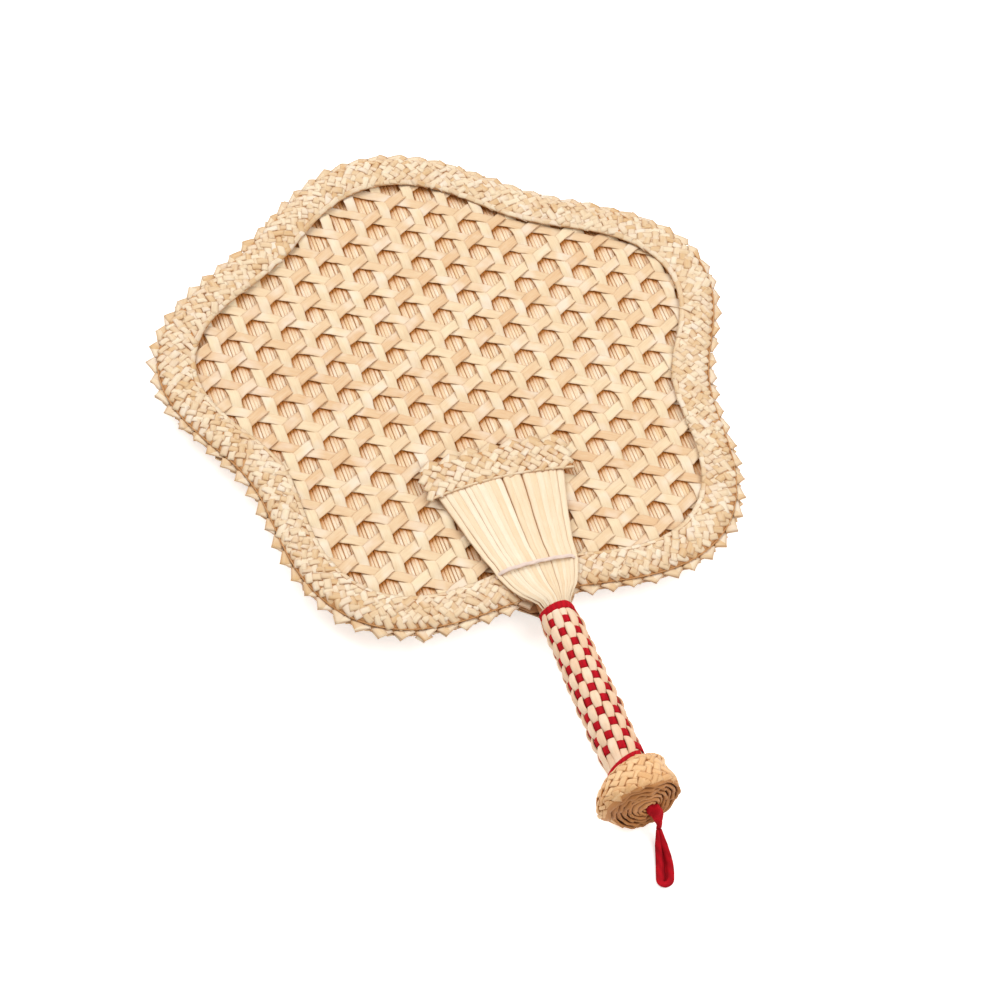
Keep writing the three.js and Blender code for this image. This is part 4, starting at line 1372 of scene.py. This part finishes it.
def roll_rings(rng):
    """Rings of the rolled band, barrel-shaped, with an uneven edge."""
    stations = np.linspace(0, 1, 9)
    swell = swell_at(stations)
    phases = rng.uniform(0, 2 * math.pi, 4)
    rings = []
    for k in range(ROLL_STEPS * POMMEL_TURNS + 1):
        angle = 2 * math.pi * k / ROLL_STEPS
        edge = sum(0.00028 * math.sin(angle * f + p) for f, p in zip((2.3, 5.1, 9.7, 14.3), phases))
        tooth = 0.0004 * abs(math.sin(angle * 9))
        inner, outer = roll_inner(angle), roll_inner(angle + 2 * math.pi)
        ring = []
        section = [(inner, along, share) for along, share in zip(stations, swell)]
        section += [(inner + (outer - ROLL_GAP - inner) * part, along, swell[-1]) for part, along in ROLL_END]
        section += [(outer - ROLL_GAP, along, share) for along, share in zip(stations[::-1], swell[::-1])]
        for radius, along, share in section:
            size = ROLL_RADIUS + (radius - ROLL_RADIUS) * share
            stretch = (edge + tooth) * max(0, along - 0.7) / 0.3
            ring.append(round_grip(angle, size, POMMEL_TOP_Y - POMMEL_LENGTH * along - stretch))
        rings.append(ring)
    return rings


def pommel_cells(rng):
    """Plait on the outside of the roll."""
    first = 2 * math.pi * (POMMEL_TURNS - 1)

    def place(u, w):
        angle = first + 2 * math.pi * min(u / POMMEL_CELLS, 1)
        along = w / POMMEL_LENGTH
        share, ahead = swell_at(along), swell_at(along + AHEAD)
        size = roll_inner(angle + 2 * math.pi)
        radius = ROLL_RADIUS + (size - ROLL_RADIUS) * share - ROLL_GAP - CELL_SINK
        further = ROLL_RADIUS + (size - ROLL_RADIUS) * ahead - ROLL_GAP - CELL_SINK
        y = POMMEL_TOP_Y - w
        point = round_grip(angle, radius, y)
        turned = angle + ROLL_PHASE
        out = np.array([math.cos(turned), 0, math.sin(turned)])
        tangent = np.array([-math.sin(turned), 0, math.cos(turned)])
        slope = (further - radius) / (AHEAD * POMMEL_LENGTH)
        across = np.array([0, -1, 0]) + out * slope
        across /= np.linalg.norm(across)
        along = tangent * radius * 2 * math.pi / POMMEL_CELLS
        return point, along, across, np.cross(across, tangent) * -1

    rows = [POMMEL_ROW_START + POMMEL_ROW_PITCH * n for n in range(POMMEL_ROWS)]
    cells = plait_rows(place, POMMEL_CELLS, rows, POMMEL_PITCH, rng)
    inset = POMMEL_LENGTH - POMMEL_EDGE_INSET
    cells += edge_cells(place, POMMEL_CELLS, inset, POMMEL_PITCH, rng)
    fixed = []
    for point, run, out, size, tone in cells:
        outward_way = np.array([point[0], 0, point[2] - AXIS_Z])
        out = out if np.dot(out, outward_way) > 0 else -out
        fixed.append(((np.array(point) + out * CELL_LIFT).tolist(), run, out, size, tone))
    return fixed


def press_pommel(mesh):
    """Push the pommel out of round: one shoulder stands out, the rim beside the other is short."""
    points = np.empty(len(mesh.vertices) * 3)
    mesh.vertices.foreach_get("co", points)
    points = points.reshape(-1, 3)
    share = np.clip((POMMEL_TOP_Y - points[:, 1]) / POMMEL_LENGTH, 0, 1)
    right = np.clip((points[:, 0] - axis_x(POMMEL_TOP_Y)) / POMMEL_RADIUS, -1, 1)
    shoulder = np.exp(-(((share - SHOULDER_PLACE) / SHOULDER_LENGTH) ** 2))
    bulge = np.exp(-(((share - BULGE_PLACE) / SHOULDER_LENGTH) ** 2))
    left = np.clip(-right, 0, 1)
    points[:, 0] += SHOULDER_REACH * np.clip(right, 0, 1) * shoulder - BULGE_REACH * left * bulge
    points[:, 0] += RIM_TUCK * left * np.clip((share - TUCK_START) / TUCK_LENGTH, 0, 1) ** 2
    points[:, 1] += SHOULDER_RISE * right * (1 - share) + RIM_SHORT * left * share**2
    mesh.vertices.foreach_set("co", points.ravel())


# ---- knot and loop


def smooth_route(points, steps):
    """Points of a smooth curve through a row of points, evenly spaced."""
    points = np.asarray(points, float)
    padded = np.vstack([2 * points[0] - points[1], points, 2 * points[-1] - points[-2]])
    made = []
    for i in range(1, len(padded) - 2):
        a, b, c, d = padded[i - 1 : i + 3]
        for t in np.linspace(0, 1, ROUTE_STEPS, endpoint=False):
            value = 2 * b + (c - a) * t + (2 * a - 5 * b + 4 * c - d) * t**2
            made.append(0.5 * (value + (3 * b - a - 3 * c + d) * t**3))
    made.append(points[-1])
    made = np.array(made)
    lengths = np.concatenate([[0], np.cumsum(np.linalg.norm(np.diff(made, axis=0), axis=1))])
    even = np.linspace(0, lengths[-1], steps)
    places = [np.interp(even, lengths, made[:, axis]) for axis in range(3)]
    return np.stack(places, axis=-1), lengths[-1]


def loop_points():
    """The loop's route on the table, in the row frame."""
    knot = np.array(LOOP_KNOT)
    out = np.array([-math.sin(LOOP_TURN), -math.cos(LOOP_TURN), 0])
    aside = np.array([-out[1], out[0], 0])
    there = [(reach, half, share) for reach, half, share in LOOP_ROUTE]
    back = [(reach, -half, share) for reach, half, share in LOOP_ROUTE[-2::-1]]
    points = []
    for reach, half, share in there + back:
        height = LOOP_LEVEL + share * (knot[2] - LOOP_LEVEL)
        bow = LOOP_BOW * math.sin(math.pi * reach / LOOP_ROUTE[-1][0])
        points.append(np.array([knot[0] + bow, knot[1], height]) + out * reach * MM + aside * half * MM)
    return points


def leaned_in(rings, route):
    """Rings of the loop's cord, their undersides drawn in towards the loop's middle."""
    middle = (route + route[::-1]) / 2
    inward = (middle - route) * (1, 1, 0)
    depth = np.clip(route[:, None, 2] - rings[:, :, 2], 0, None)
    depth = depth / np.ptp(rings[:, :, 2], axis=1)[:, None] * 2
    return rings + inward[:, None] * (LEAN_IN * depth)[:, :, None]


def knot_rings():
    """Rings of the knot and of the cord that comes out of the mouth."""
    end = POMMEL_TOP_Y - POMMEL_LENGTH
    points = [(x * MM, end - out * MM, AXIS_Z - down * MM) for x, out, down, _ in KNOT_ROUTE]
    points, _ = smooth_route(points, KNOT_RINGS)
    shares = [share for *_, share in KNOT_ROUTE]
    places = np.linspace(0, 1, KNOT_RINGS)
    radius = KNOT_RADIUS * np.interp(places, np.linspace(0, 1, len(shares)), shares)
    rings = tube_rings(points, radius, sides=KNOT_SIDES)
    turn = np.arange(KNOT_SIDES) * 2 * math.pi / KNOT_SIDES
    place = np.arange(KNOT_RINGS)
    folds = 1 + 0.1 * np.sin(3 * turn[None, :] + place[:, None] * 0.35)
    return points[:, None] + (rings - points[:, None]) * folds[:, :, None]


# ---- operators


def settings():
    scene = bpy.context.scene
    return scene.hand_fan_leaf, scene.hand_fan_handle, scene.hand_fan_colours, scene.hand_fan_stage


class HANDFAN_OT_mat(bpy.types.Operator):
    """Lays the mat of upright straws behind the weave"""

    bl_idname = "hand_fan.mat"
    bl_label = "Straw mat"

    def execute(self, context):
        leaf, _, colours, _ = settings()
        tones = colours.mat_pale, colours.mat_tan, colours.mat_shade
        # Painted shadow of the strips on the mat, counted mostly on the side towards the key lamp.
        looks = {"edge": 0.22, "shade_strength": 1.0, "reach": 0.007, "lean": (-0.7, 1.5, 0), "opened": 0.72}
        material = straw_material("Mat straw", *tones, **looks)
        lines = mat_lines(np.random.default_rng(11))
        sizes = leaf.mat_straw_width, leaf.mat_straw_thickness
        piece = swept("mat_straws", lines, *sizes, 0.9, material, sides=8)
        settle(piece, ["rib_mat"])
        return {"FINISHED"}


class HANDFAN_OT_weave(bpy.types.Operator):
    """Weaves the three families of flat strips"""

    bl_idname = "hand_fan.weave"
    bl_label = "Three-way weave"

    def execute(self, context):
        leaf, _, colours, _ = settings()
        tones = colours.straw_pale, colours.straw_tan, colours.crease_shade
        material = straw_material("Weave straw", *tones, shade_strength=0.4, faded=0.6)
        rng = np.random.default_rng(23)
        upright = upright_lines(rng)
        falling = slant_lines(rng, -1, FALLING_LEVEL, leaf.strip_wave, (0.1, 1))
        rising = slant_lines(rng, 1, RISING_LEVEL, leaf.strip_wave, (0, 0.9))
        families = (("upright", 15, upright), ("falling", 16, falling), ("rising", 16, rising))
        sizes = leaf.strip_width, leaf.strip_thickness
        for family, count, lines in families:
            piece = swept(family + "_strips", lines, *sizes, 0.6, material)
            settle(piece, numbered(family + "_strip", count))
        return {"FINISHED"}


class HANDFAN_OT_borders(bpy.types.Operator):
    """Plaits the two border bands and the arcs over the ends of the splays"""

    bl_idname = "hand_fan.borders"
    bl_label = "Plaited bands"

    def execute(self, context):
        leaf, _, colours, _ = settings()
        tones = colours.border_pale, colours.border_tan, colours.crease_shade
        looks = {"edge": 0.45, "shade_strength": 0.6, "reach": 0.0008, "faded": 0.7}
        material = straw_material("Plait straw", *tones, **looks)
        # Rim straw: the plait straw drawn darker, as painted shade on the band bases seen between the cells
        # and along the rims.
        rim = straw_material("Rim straw", colours.border_tan, colours.crease_shade, colours.crease_shade)
        front = border_piece("front_border_plait", BORDER_SETBACK, FRONT_BORDER, material, rim, leaf, 31)
        settle(front, ["front_border"])
        back = border_piece("back_border_plait", 0, BACK_BORDER, material, rim, leaf, 37)
        settle(back, ["back_border"])
        for side, name in ((1, "front"), (-1, "back")):
            arc = arc_piece(name + "_arc_plait", side, material, rim, leaf, 41 + side)
            settle(arc, [name + "_arc_braid"])
        return {"FINISHED"}


class HANDFAN_OT_splays(bpy.types.Operator):
    """Spreads the stalks over both faces of the leaf and ties the front ones"""

    bl_idname = "hand_fan.splays"
    bl_label = "Splays of stalks"

    def execute(self, context):
        _, handle, colours, _ = settings()
        material = straw_material("Stalk", colours.stalk_pale, colours.stalk_tan, colours.crease_shade, gloss=0.42)
        # Painted shade: the backing under the stalks is a darker copy of the stalk straw, seen in the gaps
        # between them.
        under = straw_material("Under the stalks", colours.stalk_tan, colours.crease_shade, colours.crease_shade)
        width = 2 * SPLAY_HALF / STALK_COUNT * 1.2
        for side, name in ((1, "front"), (-1, "back")):
            lines = stalk_lines(np.random.default_rng(53 + side), side)
            stalks = swept(name + "_splay", lines, width, handle.stalk_thickness, 0.85, material)
            backing = skinned(name + "_backing", splay_backing(side), under)
            settle(joined(name + "_splay", [stalks, backing]), [name + "_stalks"])
        white = colours.thread_white
        thread = cord_material("Thread", white, tuple(c * 0.8 for c in white))
        piece = skinned("neck_thread", thread_rings(handle.thread_width), thread)
        settle(piece, ["front_thread"])
        return {"FINISHED"}


class HANDFAN_OT_grip(bpy.types.Operator):
    """Weaves the red winding through the straws round the grip"""

    bl_idname = "hand_fan.grip"
    bl_label = "Bound grip"

    def execute(self, context):
        _, handle, colours, _ = settings()
        tones = colours.grip_pale, colours.grip_tan, colours.crease_shade
        material = straw_material("Grip straw", *tones, edge=0.4, shade_strength=0.5, faded=0.4)
        lines = grip_straw_lines(np.random.default_rng(61))
        sizes = handle.grip_straw_width, handle.grip_straw_thickness
        straws = swept("grip_straws", lines, *sizes, 0.9, material)
        # Painted shade: the core under the grip straws is a darker copy of the grip straw, seen in the gaps
        # between them.
        dark = straw_material("Grip inside", colours.grip_tan, colours.crease_shade, colours.crease_shade)
        core = skinned("grip_core", grip_core_rings(), dark)
        settle(joined("grip_straws", [straws, core]), ["grip_warps"])
        red = cord_material("Red winding", colours.cord_red, colours.cord_dark, per_length=2400.0)
        piece = skinned("red_winding", winding_rings(handle.winding_thickness), red)
        settle(piece, ["grip_winding"])
        return {"FINISHED"}


class HANDFAN_OT_pommel(bpy.types.Operator):
    """Rolls the plaited band round the end of the stalks"""

    bl_idname = "hand_fan.pommel"
    bl_label = "Rolled pommel"

    def execute(self, context):
        leaf, _, colours, _ = settings()
        tones = colours.pommel_pale, colours.pommel_tan, colours.crease_shade
        looks = {"edge": 0.6, "shade_strength": 0.85, "reach": 0.0012}
        material = straw_material("Pommel straw", *tones, **looks)
        rng = np.random.default_rng(71)
        # Painted shade: the roll and its mouth take a darker copy of the pommel straw, deepest between the
        # turns.
        tones = colours.pommel_tan, colours.crease_shade, colours.pommel_turn_shade
        looks = {"shade_strength": 0.95, "reach": 0.0016, "opened": 0.9}
        inside = straw_material("Pommel inside", *tones, **looks)
        roll = skinned("pommel_base", roll_rings(rng), inside)
        plait = plaited("pommel_plait", pommel_cells(rng), leaf, material, rise=1.5)
        mouth = skinned("pommel_mouth", mouth_rings(), inside)
        pommel = joined("pommel", [plait, roll, mouth])
        press_pommel(pommel.data)
        turn = Matrix.Translation(POMMEL_PIVOT) @ Matrix.Rotation(POMMEL_TURN, 4, "Z")
        shift = Vector((POMMEL_ASIDE, 0, 0)) - Vector(POMMEL_PIVOT)
        pommel.data.transform(turn @ Matrix.Translation(shift))
        settle(pommel, ["pommel_roll"])
        return {"FINISHED"}


class HANDFAN_OT_loop(bpy.types.Operator):
    """Ties the knot and lays the hanging loop on the table"""

    bl_idname = "hand_fan.loop"
    bl_label = "Hanging loop"

    def execute(self, context):
        _, handle, colours, _ = settings()
        red = cord_material("Red cord", colours.cord_red, colours.cord_dark)
        knot = skinned("knot", knot_rings(), red)
        settle(knot, ["loop_knot"])
        route, length = smooth_route(loop_points(), LOOP_RINGS)
        taper = np.clip(np.linspace(0, 1, LOOP_RINGS) * 8, 0, 1)
        taper = LOOP_TIP_SHARE + (1 - LOOP_TIP_SHARE) * np.minimum(taper, taper[::-1])
        radius = handle.cord_diameter * 0.65 * taper
        rings = leaned_in(tube_rings(route, radius, sides=14, flat=0.66), route)
        cord = skinned("loop_cord", rings, red)
        settle(cord, ["hang_loop"], body="loop", lean=False)
        return {"FINISHED"}


class HANDFAN_OT_stage(bpy.types.Operator):
    """Sets the camera, the floor and the lamps"""

    bl_idname = "hand_fan.stage"
    bl_label = "Stage"

    def execute(self, context):
        *_, stage = settings()
        scene = context.scene
        camera = bpy.data.objects.new("Camera", bpy.data.cameras.new("Camera"))
        scene.collection.objects.link(camera)
        camera.location = stage.camera_place
        camera.rotation_euler = stage.camera_turn
        camera.data.lens = stage.lens
        camera.data.clip_end = 50
        scene.camera = camera
        build_floor(stage.floor_tone)
        add_lamp("Key lamp", *KEY_LAMP, stage.key_power)
        add_lamp("Fill lamp", *FILL_LAMP, stage.fill_power)
        light_world(scene, stage.sky_light)
        scene.view_settings.view_transform = "Standard"
        return {"FINISHED"}


def seen_straight(tree):
    """1 where the camera sees a place straight, in a mirror or through glass."""
    path = tree.nodes.new("ShaderNodeLightPath")
    seen = maths(tree, "MAXIMUM", path.outputs["Is Camera Ray"], path.outputs["Is Glossy Ray"])
    return maths(tree, "MAXIMUM", seen, path.outputs["Is Transmission Ray"])


def build_floor(tone):
    """Wide pale floor that keeps the object's shadow."""
    mesh = bpy.data.meshes.new("Floor")
    reach = FLOOR_REACH
    corners = [(-reach, -reach, 0), (reach, -reach, 0), (reach, reach, 0), (-reach, reach, 0)]
    mesh.from_pydata(corners, [], [(0, 1, 2, 3)])
    floor = piece_object("Floor", mesh)
    made, tree = new_material("Floor")
    shade = add_node(tree, "ShaderNodeBsdfDiffuse", {"Color": (*tone, 1)})
    strength = times(tree, seen_straight(tree), FLOOR_GLOW)
    glow = add_node(tree, "ShaderNodeEmission", {"Color": (1, 1, 1, 1), "Strength": strength})
    both = add_node(tree, "ShaderNodeAddShader", {0: shade.outputs[0], 1: glow.outputs[0]})
    add_node(tree, "ShaderNodeOutputMaterial", {"Surface": both.outputs[0]})
    mesh.materials.append(made)


def add_lamp(name, place, size, power):
    """Square area lamp that looks at the leaf."""
    lamp = bpy.data.lights.new(name, "AREA")
    lamp.size = size
    lamp.energy = power
    made = bpy.data.objects.new(name, lamp)
    bpy.context.scene.collection.objects.link(made)
    made.location = place
    made.rotation_euler = (Vector(LAMP_AIM) - Vector(place)).to_track_quat("-Z", "Y").to_euler()


def light_world(scene, strength):
    """Even light from all round, white where the camera sees it."""
    world = bpy.data.worlds.new("World")
    scene.world = world
    world.use_nodes = True
    tree = world.node_tree
    tree.nodes.clear()
    seen = seen_straight(tree)
    soft = add_node(tree, "ShaderNodeBackground", {"Color": SKY_TINT, "Strength": strength})
    white = add_node(tree, "ShaderNodeBackground", {"Color": (1, 1, 1, 1), "Strength": 1.0})
    both = add_node(tree, "ShaderNodeMixShader", {0: seen, 1: soft.outputs[0], 2: white.outputs[0]})
    add_node(tree, "ShaderNodeOutputWorld", {"Surface": both.outputs[0]})


class HANDFAN_PT_panel(bpy.types.Panel):
    """Lists the fan's pieces and sizes"""

    bl_idname = "HANDFAN_PT_panel"
    bl_label = "Hand fan"
    bl_space_type = "VIEW_3D"
    bl_region_type = "UI"
    bl_category = "Hand fan"

    def draw(self, context):
        for group in settings():
            box = self.layout.box()
            for key in group.bl_rna.properties.keys():
                if key not in ("rna_type", "name"):
                    box.prop(group, key)
        for operator in OPERATORS:
            self.layout.operator(operator.bl_idname)


OPERATORS = (
    HANDFAN_OT_stage,
    HANDFAN_OT_loop,
    HANDFAN_OT_mat,
    HANDFAN_OT_weave,
    HANDFAN_OT_borders,
    HANDFAN_OT_splays,
    HANDFAN_OT_grip,
    HANDFAN_OT_pommel,
)
GROUPS = {
    "hand_fan_leaf": LeafSettings,
    "hand_fan_handle": HandleSettings,
    "hand_fan_colours": ColourSettings,
    "hand_fan_stage": StageSettings,
}


def register():
    for group in GROUPS.values():
        bpy.utils.register_class(group)
    for name, group in GROUPS.items():
        setattr(bpy.types.Scene, name, bpy.props.PointerProperty(type=group))
    for operator in OPERATORS:
        bpy.utils.register_class(operator)
    bpy.utils.register_class(HANDFAN_PT_panel)


def unregister():
    bpy.utils.unregister_class(HANDFAN_PT_panel)
    for operator in reversed(OPERATORS):
        bpy.utils.unregister_class(operator)
    for name in GROUPS:
        delattr(bpy.types.Scene, name)
    for group in reversed(GROUPS.values()):
        bpy.utils.unregister_class(group)


def main():
    register()
    bpy.ops.hand_fan.stage()
    bpy.ops.hand_fan.loop()
    bpy.ops.hand_fan.mat()
    bpy.ops.hand_fan.weave()
    bpy.ops.hand_fan.borders()
    bpy.ops.hand_fan.splays()
    bpy.ops.hand_fan.grip()
    bpy.ops.hand_fan.pommel()


if __name__ == "__main__":
    main()
